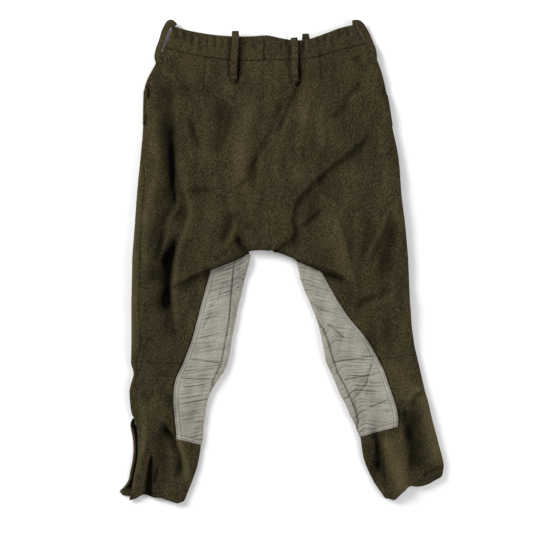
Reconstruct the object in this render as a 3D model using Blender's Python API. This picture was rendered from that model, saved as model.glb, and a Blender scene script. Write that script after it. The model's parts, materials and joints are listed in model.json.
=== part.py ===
"""Riding breeches laid flat on the XY plane, back up, waist towards +Y.

Lengths are millimetres until a mesh is made. One function, skin, gives every point of the garment's
outer face, and each cut piece is a stretch of it with a wall turned inwards.
"""

import math

import bpy
import numpy as np

METRES = 0.001
WALL = 1.8
BAND_WALL = 2.6
STRAP_WALL = 1.1
WELT_WALL = 1.2
WELT_WIDTH = 9.0
LOOP_WALL = 1.5
SEAM = 0.3
BAND_RAISE = 0.5
LOWEST_TOP = 9.0

MIDDLE_X = 1.3
MIDDLE_Y = 0.2

GRID_STEP = 27.0
DENSE = 60
INNER_COLUMNS = 5
OUTER_COLUMNS = 8
FRONT_INNER_COLUMNS = 8
FRONT_OUTER_COLUMNS = 7

LOOP_WIDTH = 14.0
LOOP_RISE = 7.8
LOOP_SEWN_END = 0.14

LAP_FROM = 0.5
LAP_OVER = 0.3
STRAP_RAMP = 14.0
STRAP_TOP = 0.1

WOOL = (0.044, 0.035, 0.018)
WOOL_BAND = (0.046, 0.037, 0.019)
STRAPPING = (0.305, 0.287, 0.238)

# Each row crosses one half from its inner end to its outer edge. bow and dip sag the row, lap slides its
# inner part along Y, z_in to z_out are heights across the top, floor is the height of the underside,
# side and inseam are the seams' distances from the two edges, patch is the strapping's width, and open
# says how far the outer edge is slit.
COLUMNS = (
    "out_x", "out_y", "in_x", "in_y", "bow", "dip", "lap",
    "z_in", "z_near", "z_far", "z_out", "floor", "side", "inseam", "patch", "open",
)
LEFT = {
    "top":        (-211, 459, -33, 441, 9, 0, 0, 13, 14, 14, 12, 2, 1, 0, 66, 0),
    "waist":      (-228, 418, -33, 392, 9, 0, 0, 14, 15, 15, 13, 2, 1, 0, 70, 0),
    "yoke":       (-246, 385, -33, 362, 7, 0, 0, 16, 17, 17, 15, 2, 1, 0, 74, 0),
    "pocket":     (-267, 334, -34, 315, 3, 0, 0, 18, 19, 20, 19, 2, 1, 0, 78, 0),
    "hip":        (-269, 266, -40, 266, 0, 0, 0, 20, 21, 22, 22, 0, 3, 0, 80, 0),
    "seat":       (-274, 204, -37, 208, 0, 0, 0, 21, 23, 23, 24, 0, 9, 0, 80, 0),
    "low seat":   (-281, 132, -33, 149, 0, 0, 0, 22, 24, 23, 24, 0, 15, 0, 80, 0),
    "rise":       (-286, 61, -24, 89, 0, 0, 0, 22, 26, 23, 24, 0, 14, 0, 80, 0),
    "crotch":     (-290, 10, -20, 27, 0, 0, 0, 16, 26, 24, 24, 0, 16, 0, 80, 0),
    "crest":      (-292, -88, -62, 17, -8, 0, -3, 17, 26, 24, 23, 0, 17, 6, 80, 0),
    "foot":       (-292, -96, -61, 8, -8, 0, 3, 11, 13, 20, 22, 0, 17, 33, 84, 0),
    "thigh":      (-292, -124, -78, -58, -3, 0, 0, 11, 13, 17, 20, 0, 18, 20, 79, 0),
    "low thigh":  (-292, -161, -94, -130, 0, 0, 0, 11, 13, 16, 18, 0, 20, 10, 77, 0),
    "knee":       (-293, -196, -107, -202, 0, 0, 0, 11, 13, 15, 16, 0, 12, 11, 84, 0),
    "below knee": (-288, -219, -121, -225, 0, 0, 0, 11, 13, 14, 15, 0, 9, 8, 81, 0),
    "calf":       (-296, -254, -140, -256, 0, 0, 0, 11, 13, 14, 14, 0, 7, 1, 69, 0),
    "slit":       (-293, -292, -150, -295, 0, 0, 0, 11, 13, 14, 12, 0, 3, -3, 58, 0),
    "patch end":  (-282, -325, -156, -358, 0, 0, 0, 11, 13, 14, 10, 0, 1, -3, 49, 1),
    "shin":       (-280, -371, -162, -395, 0, 0, 0, 11, 13, 14, 10, 0, 1, -3, 46, 1),
    "ankle":      (-289, -426, -176, -436, 0, 0, 0, 11, 13, 13, 10, 0, 1, -3, 44, 1),
    "hem":        (-297, -467, -189, -467, 0, 0, 0, 11, 12, 12, 10, 0, 1, -3, 42, 1),
}
RIGHT = {
    "top":        (146, 462, -33, 441, 0, 18, 0, 13, 14, 14, 12, 2, -2, 0, 66, 0),
    "waist":      (167, 424, -33, 392, 0, 10, 0, 14, 15, 15, 13, 2, -2, 0, 70, 0),
    "yoke":       (191, 385, -33, 362, 0, 6, 0, 16, 17, 17, 15, 2, -2, 0, 74, 0),
    "pocket":     (207, 325, -34, 315, 0, 2, 0, 18, 19, 18, 18, 2, -2, 0, 78, 0),
    "hip":        (217, 264, -40, 266, 0, 0, 0, 20, 21, 19, 20, 0, -2, 0, 80, 0),
    "seat":       (230, 198, -37, 208, 0, 0, 0, 21, 23, 20, 22, 0, -2, 0, 80, 0),
    "low seat":   (235, 132, -33, 149, 0, 0, 0, 22, 23, 20, 22, 0, -2, 0, 80, 0),
    "rise":       (243, 65, -24, 89, 0, 0, 0, 22, 22, 21, 23, 0, -2, 0, 80, 0),
    "crotch":     (248, 8, -20, 27, 0, 0, 0, 16, 24, 22, 23, 0, -2, 0, 80, 0),
    "crest":      (252, -84, -8, 22, 0, 0, -3, 17, 24, 22, 22, 0, -2, 0, 60, 0),
    "foot":       (253, -94, 31, -2, 0, 0, 3, 11, 15, 22, 21, 0, -2, -6, 50, 0),
    "thigh":      (255, -124, 43, -44, 0, 0, 0, 11, 13, 16, 19, 0, -2, -5, 66, 0),
    "low thigh":  (258, -145, 60, -83, 0, 0, 0, 11, 13, 16, 18, 0, -2, -3, 72, 0),
    "above knee": (261, -165, 78, -134, 0, 0, 0, 11, 13, 15, 17, 0, -2, 6, 88, 0),
    "knee":       (265, -182, 91, -200, 0, 0, 0, 11, 13, 14, 16, 0, -2, 13, 98, 0),
    "below knee": (271, -208, 101, -219, 0, 0, 0, 11, 13, 14, 15, 0, -2, 10, 99, 0),
    "calf":       (280, -247, 115, -253, 0, 0, 0, 11, 13, 14, 15, 0, -2, 14, 98, 0),
    "shin":       (288, -276, 131, -286, 0, 0, 0, 11, 13, 14, 15, 0, -2, 12, 92, 0),
    "patch end":  (294, -303, 154, -342, 0, 0, 0, 11, 13, 15, 15, 0, -2, 0, 76, 0),
    "ankle":      (308, -356, 161, -383, 0, 0, 0, 11, 14, 15, 14, 0, -2, -3, 60, 0),
    "cuff":       (318, -399, 181, -430, 0, 0, 0, 11, 14, 14, 13, 0, -2, -3, 56, 0),
    "hem":        (314, -420, 204, -463, 0, 0, 0, 11, 13, 13, 12, 0, -2, -3, 54, 0),
}
ROWS = {"left": LEFT, "right": RIGHT}

# The largest folds: half width, height (a trough is negative), and the line that the fold follows.
# A lap has its high side on the right of its line and dies away over its reach.
FOLDS = {
    "left valley": (9, -13, (
        (-236, 354), (-218, 309), (-214, 247), (-212, 192), (-211, 139), (-220, 97), (-238, 50),
        (-244, 11),
    )),
    "left gulf": (12, -9, ((-205, 26), (-213, -17), (-224, -56), (-224, -81))),
    "left rim": (10, 4, (
        (-205, 221), (-191, 145), (-177, 85), (-189, 52), (-206, -20), (-205, -79), (-199, -137),
        (-189, -169),
    )),
    "seat dip left": (22, -4, ((-131, 319), (-99, 290), (-101, 260), (-131, 192))),
    "seat hump left": (20, 3, ((-80, 338), (-92, 247), (-119, 159))),
    "centre dip": (14, -4, ((12, 323), (-18, 256), (-66, 159))),
    "thigh ridge right": (12, 5, ((101, 110), (115, 65), (135, -15), (150, -69))),
    "long ridge": (11, 7, ((214, 110), (195, 59), (172, 15), (168, -13))),
    "dip inside": (9, -5, ((177, 97), (174, 61), (160, 13), (154, -26))),
    "dip outside": (9, -7, ((218, 61), (207, 30), (195, -1), (199, -40))),
    "knee dip": (8, -4, ((224, -52), (205, -61), (158, -83), (148, -98))),
    "hem pleat": (8, -6, ((-252, -371), (-257, -418), (-260, -457))),
    "calf crease": (9, -4, ((-236, -307), (-210, -343), (-196, -378), (-195, -434))),
    "right valley": (11, -7, ((230, -262), (257, -309), (266, -381), (262, -414))),
    "right bright": (10, 4, ((205, -360), (214, -379), (232, -440))),
    "inner pit": (7, -5, ((183, -332), (189, -370), (187, -403))),
}
LAPS = {
    "diagonal": (8, 9, 55, (
        (181, 292), (173, 256), (158, 231), (127, 206), (92, 178), (60, 150), (39, 126), (27, 104),
        (23, 77), (29, 56), (21, 44), (-6, 26),
    )),
}
FADE = 0.22

# The side loops stand out past the edge: tilt in degrees, and the line, with its heights between the sewn
# ends.
SIDE_LOOPS = {
    "belt_loop_side_left": (
        "left", -35, (
            (-207, 458), (-215, 466, 12.5), (-226, 456, 8), (-235, 432, 7.5), (-241, 410, 10.5),
            (-241, 398, 14), (-236, 386),
        ),
    ),
    "belt_loop_side_right": (
        "right", 35, (
            (139, 463), (150, 464, 12.5), (162, 451, 8), (172.5, 428, 8.5), (179, 410, 12),
            (180, 397, 15), (179, 385),
        ),
    ),
}
BACK_LOOPS = {
    "belt_loop_back_left": ("left", (-89, 449), (-92, 354)),
    "belt_loop_back_right": ("right", (25, 436), (28, 350)),
}
FRONT_LOOPS = {
    "belt_loop_front_left": ((-110, 436), (-112, 350)),
    "belt_loop_front_right": ((48, 446), (50, 360)),
}
LOOP_STEPS = 14

# How far the cloth at the crotch is pushed up or down: place, half width, half height and rise.
BOTTOM = ((-20, 25, 15, 22, -4.5), (-66, 14, 20, 22, 4))
# How far each hem is pushed up or down: place along X, half width and rise.
HEM_WAVES = {
    "left": ((-266, 17, 12), (-236, 13, 5), (-202, 10, -5)),
    "right": ((222, 10, -9), (251, 10, 7), (285, 18, -4)),
}

# The left placket strip: its free edge and its share of the full width at each height, and its top face's
# height across it.
PLACKET_EDGE = (
    (-292, -307, 0.1), (-295.5, -314, 0.1), (-295, -321, 0.1), (-293.5, -330, 1), (-291, -340, 1),
    (-289, -356, 1), (-289, -374, 1), (-291, -392, 1), (-295, -411, 1), (-299, -429, 1), (-307, -441, 1),
    (-315, -450, 1), (-309, -458, 1),
)
PLACKET_ACROSS = ((0, 1.8), (3, 1.8), (9, 3.9), (34, 3.9))
FLY_COLUMNS = 5


def smoothstep(t):
    t = np.clip(t, 0.0, 1.0)
    return t * t * (3.0 - 2.0 * t)


def row_number(side, name):
    return list(ROWS[side]).index(name)


def curve_slopes(values, corner):
    """Slopes at the rows: the harmonic mean of the two neighbouring steps, none where they turn back."""
    steps = np.diff(values)
    slopes = np.zeros(len(values))
    slopes[0], slopes[-1] = steps[0], steps[-1]
    product = steps[:-1] * steps[1:]
    total = np.where(product > 0, steps[:-1] + steps[1:], 1.0)
    slopes[1:-1] = np.where(product > 0, 2.0 * product / total, 0.0)
    before, after = slopes.copy(), slopes.copy()
    before[corner] = steps[corner - 1]
    after[corner] = steps[corner]
    return before, after


def rows_at(side, v):
    """Each column of the table at the row position v, by cubics that never overshoot a row."""
    table = np.array(list(ROWS[side].values()), float)
    corner = row_number(side, "crotch")
    index = np.clip(np.floor(v).astype(int), 0, len(table) - 2)
    t = np.clip(v - index, 0.0, 1.0)
    found = {}
    for name, values in zip(COLUMNS, table.T):
        before, after = curve_slopes(values, corner)
        start, end = values[index], values[index + 1]
        found[name] = (
            start * (1 + 2 * t) * (1 - t) ** 2 + after[index] * t * (1 - t) ** 2
            + end * t * t * (3 - 2 * t) - before[index + 1] * t * t * (1 - t)
        )
    crest = row_number(side, "crest")
    found["leg"] = smoothstep((v - corner) / (crest - corner))
    return found


def nearest_on_line(line, x, y):
    """How far along the line the nearest point is, 0 to 1, and the distance to it, positive to its left."""
    line = np.array(line, float)
    lengths = np.hypot(*np.diff(line, axis=0).T)
    starts = np.concatenate([[0.0], np.cumsum(lengths)])
    best = np.full(x.shape, np.inf)
    along, offset = np.zeros(x.shape), np.zeros(x.shape)
    for a, b, length, start in zip(line[:-1], line[1:], lengths, starts):
        tx, ty = (b - a) / length
        reach = np.clip((x - a[0]) * tx + (y - a[1]) * ty, 0.0, length)
        px, py = x - a[0] - reach * tx, y - a[1] - reach * ty
        distance = np.hypot(px, py)
        nearer = distance < best
        best = np.where(nearer, distance, best)
        along = np.where(nearer, (start + reach) / starts[-1], along)
        offset = np.where(nearer, np.where(tx * py - ty * px >= 0, distance, -distance), offset)
    return along, offset


def faded(along):
    """A fold's strength along its line, dying away towards both ends."""
    return smoothstep(along / FADE) * smoothstep((1 - along) / FADE)


def fold_height(x, y):
    """The height that the folds add to the top at each point of the plan."""
    height = np.zeros(x.shape)
    for width, rise, line in FOLDS.values():
        along, offset = nearest_on_line(line, x, y)
        height += rise * np.exp(-((offset / width) ** 2)) * faded(along)
    for width, rise, reach, line in LAPS.values():
        along, offset = nearest_on_line(line, x, y)
        step = 0.5 * (1 - np.tanh(2 * offset / width)) * np.exp(-((np.maximum(-offset, 0) / reach) ** 2))
        height += rise * step * faded(along)
    return height


def hem_wave(side, x, v):
    """How far the cloth near the hem is pushed up: in full on the last row, not at all on the row before."""
    rise = sum(height * np.exp(-(((x - place) / half) ** 2)) for place, half, height in HEM_WAVES[side])
    return rise * smoothstep(v - len(ROWS[side]) + 2)


def across(t, z_in, z_near, z_far, z_out):
    """The cubic through four heights a third of the way apart."""
    third = 3.0 * t
    return (
        -z_in * (third - 1) * (third - 2) * (third - 3) / 6 + z_near * third * (third - 2) * (third - 3) / 2
        - z_far * third * (third - 1) * (third - 3) / 2 + z_out * third * (third - 1) * (third - 2) / 6
    )


def skin(side, q, v):
    """The garment's outer face. v counts rows down the half, and q goes round it: -1 to 0 up the inner
    roll, 0 to 1 across the top, 1 to 2 down the outer roll, 2 to 3 back along the underside."""
    row = rows_at(side, v)
    q = np.mod(q + 1.0, 4.0) - 1.0
    step_x, step_y = row["out_x"] - row["in_x"], row["out_y"] - row["in_y"]
    width = np.hypot(step_x, step_y)
    inner = row["leg"] * row["z_in"] / 2
    outer = row["z_out"] / 2
    flat = width - inner - outer - SEAM / 2
    top = np.clip(q, 0, 1)
    turn_in = math.pi * np.clip(-q, 0, 1)
    turn_out = math.pi * np.clip(q - 1, 0, 1)
    under = np.clip(q - 2, 0, 1)
    in_plan = SEAM / 2 + inner + flat * (top - under)
    in_plan = np.where(q < 0, SEAM / 2 + inner * (1 - np.sin(turn_in)), in_plan)
    in_plan = np.where((q > 1) & (q < 2), width - outer * (1 - np.sin(turn_out)), in_plan)
    u = in_plan / width
    sag = row["bow"] * 4 * u * (1 - u) + row["dip"] * np.sin(math.pi * u ** 0.8) ** 2
    x = row["in_x"] + step_x * u
    share = np.where(q < 0, (1 + np.cos(turn_in)) / 2, (1 + np.cos(turn_out)) / 2)
    lap = row["lap"] * share * (1 - smoothstep((u - LAP_FROM) / LAP_OVER))
    y = row["in_y"] + step_y * u - sag + lap + hem_wave(side, x, v)
    y = y + sum(
        rise * np.exp(-(((x - to_x) / wide) ** 2) - ((y - to_y) / high) ** 2)
        for to_x, to_y, wide, high, rise in BOTTOM
    )
    from_foot, to_end = v - row_number(side, "foot"), row_number(side, "patch end") + 0.6 - v
    patch_rows = smoothstep(from_foot * 4 + 1) * smoothstep(to_end * 2)
    lift = (STRAP_WALL + SEAM) * patch_rows * smoothstep((row["patch"] + STRAP_RAMP - in_plan) / STRAP_RAMP)
    floor = row["floor"] + lift
    crown = np.where(q < 0, row["z_in"], across(top, row["z_in"], row["z_near"], row["z_far"], row["z_out"]))
    crown = np.maximum(crown + fold_height(x, y), LOWEST_TOP)
    z = floor + (crown - floor) * share
    return np.stack([x - MIDDLE_X, y - MIDDLE_Y, z], axis=-1)


def q_from_inner_edge(side, v, distance):
    """q on the top or the inner roll at a distance in plan from the inner edge, negative past its middle."""
    row = rows_at(side, v)
    inner = np.maximum(row["leg"] * row["z_in"] / 2, 1e-6)
    flat = np.hypot(row["out_x"] - row["in_x"], row["out_y"] - row["in_y"]) - inner - row["z_out"] / 2
    on_roll = -0.5 + np.arcsin(np.clip(distance / inner, -1, 1)) / math.pi
    return np.where(distance > inner, (distance - inner) / flat, on_roll)


def side_q(side, v):
    row = rows_at(side, v)
    inner, outer = row["leg"] * row["z_in"] / 2, row["z_out"] / 2
    flat = np.hypot(row["out_x"] - row["in_x"], row["out_y"] - row["in_y"]) - inner - outer
    on_roll = 1.5 - np.arcsin(np.clip(row["side"] / outer, -1, 1)) / math.pi
    return np.where(row["side"] > outer, 1 - (row["side"] - outer) / flat, on_roll)


def inseam_q(side, v):
    """Where the back ends at its inner edge: the centre seam down to the crotch, then the inseam."""
    corner = row_number(side, "crotch")
    on_leg = q_from_inner_edge(side, v, rows_at(side, v)["inseam"])
    turning = -0.5 * smoothstep((v - corner + 0.12) / 0.12)
    return np.where(v > corner, on_leg, turning)


def patch_q(side, v):
    return q_from_inner_edge(side, v, rows_at(side, v)["patch"])


def front_side_q(side, v):
    row = rows_at(side, v)
    return side_q(side, v) + smoothstep(row["open"]) * (2.04 - side_q(side, v))


def front_end_q(side, v):
    corner = row_number(side, "crotch")
    turning = 3.0 + 0.5 * smoothstep((v - corner + 0.12) / 0.12)
    return np.where(v > corner, 4.0 + inseam_q(side, v), turning)


def row_positions(side, step):
    """Row positions down the half, about step apart, with every row of the table among them and one where
    the strapping starts."""
    rows = np.array(list(ROWS[side].values()), float)
    found = [row_number(side, "foot") + STRAP_TOP]
    for i in range(len(rows) - 1):
        length = max(math.dist(rows[i, :2], rows[i + 1, :2]), math.dist(rows[i, 2:4], rows[i + 1, 2:4]))
        count = max(1 if i == 0 else 2, math.ceil(length / step))
        found += [i + k / count for k in range(count)]
    return np.sort(found + [len(rows) - 1.0])


def spread(side, v, q_from, q_to, count, last=0.0):
    """q at count + 1 places an equal length apart along each row's section, and one more at the end of a
    last stretch of its own length."""
    t = np.linspace(0, 1, DENSE)
    dense = q_from[:, None] + (q_to - q_from)[:, None] * t
    points = skin(side, dense, np.repeat(v[:, None], DENSE, axis=1))
    lengths = np.linalg.norm(np.diff(points, axis=1), axis=2)
    run = np.concatenate([np.zeros((len(v), 1)), np.cumsum(lengths, axis=1)], axis=1)
    even = np.linspace(0, 1, count + 1)
    found = np.array([np.interp(even * (r[-1] - last), r, d) for r, d in zip(run, dense)])
    return np.hstack([found, q_to[:, None]]) if last else found


def surface(side, q, v):
    """Points and outward normals of the skin on a grid."""
    v = np.broadcast_to(v[:, None], q.shape)
    points = skin(side, q, v)
    dq, dv = 0.004, 0.01
    along_q = skin(side, q + dq, v) - skin(side, q - dq, v)
    along_v = skin(side, q, np.minimum(v + dv, len(ROWS[side]) - 1)) - skin(side, q, np.maximum(v - dv, 0))
    normal = np.cross(along_q, along_v) if side == "left" else np.cross(along_v, along_q)
    return points, normal / np.linalg.norm(normal, axis=2, keepdims=True)


def back_grid(side, step=GRID_STEP):
    v = row_positions(side, step)
    inner = spread(side, v, inseam_q(side, v), patch_q(side, v), INNER_COLUMNS)
    outer = spread(side, v, patch_q(side, v), side_q(side, v), OUTER_COLUMNS, WELT_WIDTH)
    return v, *surface(side, np.hstack([inner, outer[:, 1:]]), v)


def front_grid(side, step=GRID_STEP):
    v = row_positions(side, step)
    edge = 3.0 - patch_q(side, v)
    outer = spread(side, v, front_side_q(side, v), edge, FRONT_OUTER_COLUMNS)
    inner = spread(side, v, edge, front_end_q(side, v), FRONT_INNER_COLUMNS)
    points, normals = surface(side, np.hstack([outer, inner[:, 1:]]), v)
    return v, points[:, ::-1], normals[:, ::-1]


def material(name, colour, roughness=0.9):
    made = bpy.data.materials.get(name) or bpy.data.materials.new(name)
    made.use_nodes = True
    shader = made.node_tree.nodes["Principled BSDF"]
    shader.inputs["Base Color"].default_value = (*colour, 1.0)
    shader.inputs["Roughness"].default_value = roughness
    shader.inputs["Metallic"].default_value = 0.0
    return made


def pulled_in(points, amount):
    """The grid with each border row and column moved inwards."""
    moved = points.copy()
    for edge, inside in ((0, 1), (-1, -2)):
        step = moved[inside] - moved[edge]
        moved[edge] += amount * step / np.linalg.norm(step, axis=1, keepdims=True)
        step = moved[:, inside] - moved[:, edge]
        moved[:, edge] += amount * step / np.linalg.norm(step, axis=1, keepdims=True)
    return moved


def wall_mesh(name, outer, inner, colour, outwards):
    """A closed wall between two grids of points of the same shape."""
    rows, columns = outer.shape[:2]
    index = np.arange(rows * columns).reshape(rows, columns)
    corner, next_column, next_row, opposite = index[:-1, :-1], index[:-1, 1:], index[1:, :-1], index[1:, 1:]
    halves = np.stack([corner, next_column, opposite, corner, opposite, next_row], axis=-1).reshape(-1, 3)
    rim = np.concatenate([index[0], index[1:, -1], index[-1, -2::-1], index[-2:0:-1, 0]])
    rim_next = np.roll(rim, -1)
    below = rows * columns
    sides = np.stack([rim, rim + below, rim_next + below, rim, rim_next + below, rim_next], axis=-1)
    faces = np.concatenate([halves, halves[:, ::-1] + below, sides.reshape(-1, 3)])
    if not outwards:
        faces = faces[:, ::-1]
    points = np.concatenate([outer.reshape(-1, 3), inner.reshape(-1, 3)]) * METRES
    mesh = bpy.data.meshes.new(name)
    mesh.from_pydata(points.tolist(), [], faces.tolist())
    mesh.materials.append(material(name, colour))
    mesh.shade_smooth()
    piece = bpy.data.objects.new(name, mesh)
    bpy.context.scene.collection.objects.link(piece)
    return piece


def facing_out(points, normals):
    """Whether the grid's own winding faces along its normals."""
    turn = np.cross(points[0, 1] - points[0, 0], points[1, 0] - points[0, 0])
    return float(np.dot(turn, normals[0, 0])) < 0


def sheet(name, points, normals, colour, wall=WALL, raised=0.0, inset=SEAM / 2):
    points = pulled_in(points, inset)
    outwards = not facing_out(points, normals)
    return wall_mesh(name, points + normals * raised, points + normals * (raised - wall), colour, outwards)


def rows_between(side, v, first, last):
    start, end = row_number(side, first), row_number(side, last)
    return np.flatnonzero((v >= start - 1e-6) & (v <= end + 1e-6))


def make_half(side):
    v, back, back_normals = back_grid(side)
    front_v, front, front_normals = front_grid(side)
    band = rows_between(side, v, "top", "waist")
    seat = rows_between(side, v, "waist", "knee")
    calf = rows_between(side, v, "knee", "hem")
    body = rows_between(side, v, "waist", "hem")
    sheet("waistband_back_" + side, back[band], back_normals[band], WOOL_BAND, BAND_WALL, BAND_RAISE)
    sheet("waistband_front_" + side, front[band], front_normals[band], WOOL_BAND, BAND_WALL)
    sheet("back_" + side, back[seat], back_normals[seat], WOOL)
    sheet("calf_back_" + side, back[calf], back_normals[calf], WOOL)
    sheet("front_" + side, front[body], front_normals[body], WOOL)
    patch = np.setdiff1d(rows_between(side, v, "foot", "patch end"), rows_between(side, v, "foot", "foot"))
    over = SEAM + STRAP_WALL
    on_back = np.ix_(patch, np.arange(INNER_COLUMNS + 1))
    sheet("strapping_back_" + side, back[on_back], back_normals[on_back], STRAPPING, STRAP_WALL, over)
    on_front = np.ix_(patch, np.arange(FRONT_INNER_COLUMNS + 1))
    sheet("strapping_front_" + side, front[on_front], front_normals[on_front], STRAPPING, STRAP_WALL, over)
    mouth = np.ix_(rows_between(side, v, "pocket", "hip"), [-2, -1])
    sheet("pocket_welt_" + side, back[mouth], back_normals[mouth], WOOL_BAND, WELT_WALL, SEAM + WELT_WALL)


def make_fly(side="left"):
    """The underlap behind the closed front, lying on the inside of one front along the centre."""
    v, points, normals = front_grid(side)
    lying = np.ix_(rows_between(side, v, "waist", "seat"), np.arange(FLY_COLUMNS))
    sheet("fly_underlap", points[lying], normals[lying], WOOL, WALL, -WALL - SEAM)


def make_placket_right(side="right"):
    """The closed placket's underlap, a strip on the inside of the front along the outer edge."""
    v, points, normals = front_grid(side)
    lying = np.ix_(rows_between(side, v, "patch end", "hem"), [-4, -3])
    sheet("placket_right", points[lying], normals[lying], WOOL, WALL, -WALL - SEAM)


def make_placket_left():
    """The open placket's underlap, which shows past the back's free edge."""
    edge_x, edge_y, share = np.array(PLACKET_EDGE, float).T[:, :, None]
    across_x, height = np.array(PLACKET_ACROSS, float).T
    x = edge_x + across_x * share
    y, z = np.broadcast_to(edge_y, x.shape), np.broadcast_to(height, x.shape)
    top = np.stack([x - MIDDLE_X, y - MIDDLE_Y, z], axis=-1)
    wall_mesh("placket_left", top, top - (0, 0, WALL), WOOL, outwards=False)


def top_height(side, x, y):
    """The height of the top at places in the plan: that of the nearest of many points of the skin."""
    v, q = np.meshgrid(np.linspace(0, row_number(side, "hip"), 90), np.linspace(0, 1, 120), indexing="ij")
    points = skin(side, q, v).reshape(-1, 3)
    gap = np.hypot(points[:, 0] - x[:, None] + MIDDLE_X, points[:, 1] - y[:, None] + MIDDLE_Y)
    return points[gap.argmin(axis=1), 2]


def sewn_height(side, x, y):
    """The underside of a loop's sewn end: just clear of the highest cloth under its width."""
    width = np.linspace(-LOOP_WIDTH / 2, LOOP_WIDTH / 2, 5)
    return top_height(side, x + width, np.full(len(width), float(y))).max() + SEAM


def strip(name, centre, tilt=0.0):
    """A belt loop: a flat strip along a line of points, tilted about it in the middle."""
    along = np.gradient(centre, axis=0)
    across_strip = np.stack([along[:, 1], -along[:, 0], np.zeros(len(centre))], axis=-1)
    across_strip /= np.linalg.norm(across_strip, axis=1, keepdims=True)
    turn = math.radians(tilt) * np.sin(math.pi * np.linspace(0, 1, len(centre)))[:, None]
    across_strip = across_strip * np.cos(turn) + np.array([0, 0, 1]) * np.sin(turn)
    out = np.cross(across_strip, along)
    out /= np.linalg.norm(out, axis=1, keepdims=True)
    out *= np.where(out[:, 2:] < 0, -1, 1)
    grid = np.stack([centre - across_strip * LOOP_WIDTH / 2, centre + across_strip * LOOP_WIDTH / 2], axis=1)
    raised = out[:, None] * LOOP_WALL
    wall_mesh(name, grid + raised, grid, WOOL_BAND, outwards=True)


def along_line(points, count):
    """Points an equal length apart on the smooth curve through a few points."""
    points = np.array(points, float)
    run = np.concatenate([[0], np.cumsum(np.linalg.norm(np.diff(points, axis=0), axis=1))])
    slopes = np.gradient(points, run, axis=0)
    at = np.linspace(0, run[-1], count + 1)
    index = np.clip(np.searchsorted(run, at, side="right") - 1, 0, len(points) - 2)
    length = (run[index + 1] - run[index])[:, None]
    t = ((at - run[index]) / length[:, 0])[:, None]
    return (
        points[index] * (1 + 2 * t) * (1 - t) ** 2 + slopes[index] * length * t * (1 - t) ** 2
        + points[index + 1] * t * t * (3 - 2 * t) - slopes[index + 1] * length * t * t * (1 - t)
    )


def make_loops():
    middle = np.array([MIDDLE_X, MIDDLE_Y, 0])
    for name, (side, tilt, line) in SIDE_LOOPS.items():
        ends = [(*end, sewn_height(side, *end)) for end in (line[0], line[-1])]
        line = [ends[0], *line[1:-1], ends[1]]
        strip(name, along_line(line, LOOP_STEPS) - middle, tilt)
    for name, (side, top, bottom) in BACK_LOOPS.items():
        t = np.linspace(0, 1, LOOP_STEPS + 1)
        plan = np.array(top) + np.outer(t, np.subtract(bottom, top))
        rise = LOOP_RISE * smoothstep(t / LOOP_SEWN_END - 0.3) * smoothstep((1 - t) / LOOP_SEWN_END - 0.3)
        z = top_height(side, plan[:, 0], plan[:, 1]) + BAND_RAISE + SEAM + rise
        strip(name, np.column_stack([plan, z]) - middle)
    for name, (top, bottom) in FRONT_LOOPS.items():
        plan = np.array(top) + np.outer(np.linspace(0, 1, 3), np.subtract(bottom, top))
        strip(name, np.column_stack([plan, np.zeros(3)]) - middle)


def clear_scene():
    for old in list(bpy.data.objects):
        bpy.data.objects.remove(old)


def main():
    clear_scene()
    for side in ROWS:
        make_half(side)
    make_fly()
    make_placket_left()
    make_placket_right()
    make_loops()


if __name__ == "__main__":
    main()
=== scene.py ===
"""Riding breeches laid flat with the back up: the cloth and sewing that show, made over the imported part.

Lengths are millimetres in the tables and in the shape functions, and metres in the settings and meshes.
The garment's outer face is one function of two parameters, skin, which runs round each half and down it.
Every cut piece is a stretch of that face with a wall turned inwards.
"""

import json
import math
from functools import cache

import bpy
import numpy as np
from bpy.props import FloatProperty, FloatVectorProperty, PointerProperty
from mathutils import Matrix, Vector

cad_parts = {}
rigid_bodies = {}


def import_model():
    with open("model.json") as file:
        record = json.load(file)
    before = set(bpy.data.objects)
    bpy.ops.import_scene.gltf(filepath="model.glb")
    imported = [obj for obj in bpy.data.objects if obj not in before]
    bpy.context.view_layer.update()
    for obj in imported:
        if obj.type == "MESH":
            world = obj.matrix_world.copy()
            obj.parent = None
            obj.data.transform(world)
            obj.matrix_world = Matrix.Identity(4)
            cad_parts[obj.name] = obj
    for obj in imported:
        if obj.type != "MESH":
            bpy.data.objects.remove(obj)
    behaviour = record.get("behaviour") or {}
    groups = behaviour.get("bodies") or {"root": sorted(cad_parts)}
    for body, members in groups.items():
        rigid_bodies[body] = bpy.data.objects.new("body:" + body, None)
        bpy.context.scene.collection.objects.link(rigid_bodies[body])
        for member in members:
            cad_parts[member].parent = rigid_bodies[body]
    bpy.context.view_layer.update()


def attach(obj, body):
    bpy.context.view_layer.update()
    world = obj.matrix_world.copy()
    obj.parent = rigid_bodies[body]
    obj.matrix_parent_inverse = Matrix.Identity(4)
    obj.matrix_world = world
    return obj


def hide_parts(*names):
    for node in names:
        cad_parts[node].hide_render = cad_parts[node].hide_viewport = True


bl_info = {
    "name": "Riding breeches",
    "version": (1, 0, 0),
    "blender": (4, 5, 0),
    "location": "View3D > Sidebar > Breeches",
    "description": "Builds a pair of riding breeches laid flat with the back up",
    "category": "Object",
}

for startup in list(bpy.data.objects):
    bpy.data.objects.remove(startup)
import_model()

METRES = 0.001

# The middle of the drawing frame, where the part's origin is.
MIDDLE = np.array([1.3, 0.2, 0.0])

# The gap between pieces, and how far each piece's edge is drawn in besides.
SEAM = 0.3
EDGE_GAP = 0.05
# The lowest that a fold may press the top, and the factors on the heights of troughs and ridges.
LOWEST_TOP = 8.0
DEEPER = 1.5
HIGHER = 1.6
# The share of a fold's line over which it dies away.
FADE = 0.22
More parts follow.
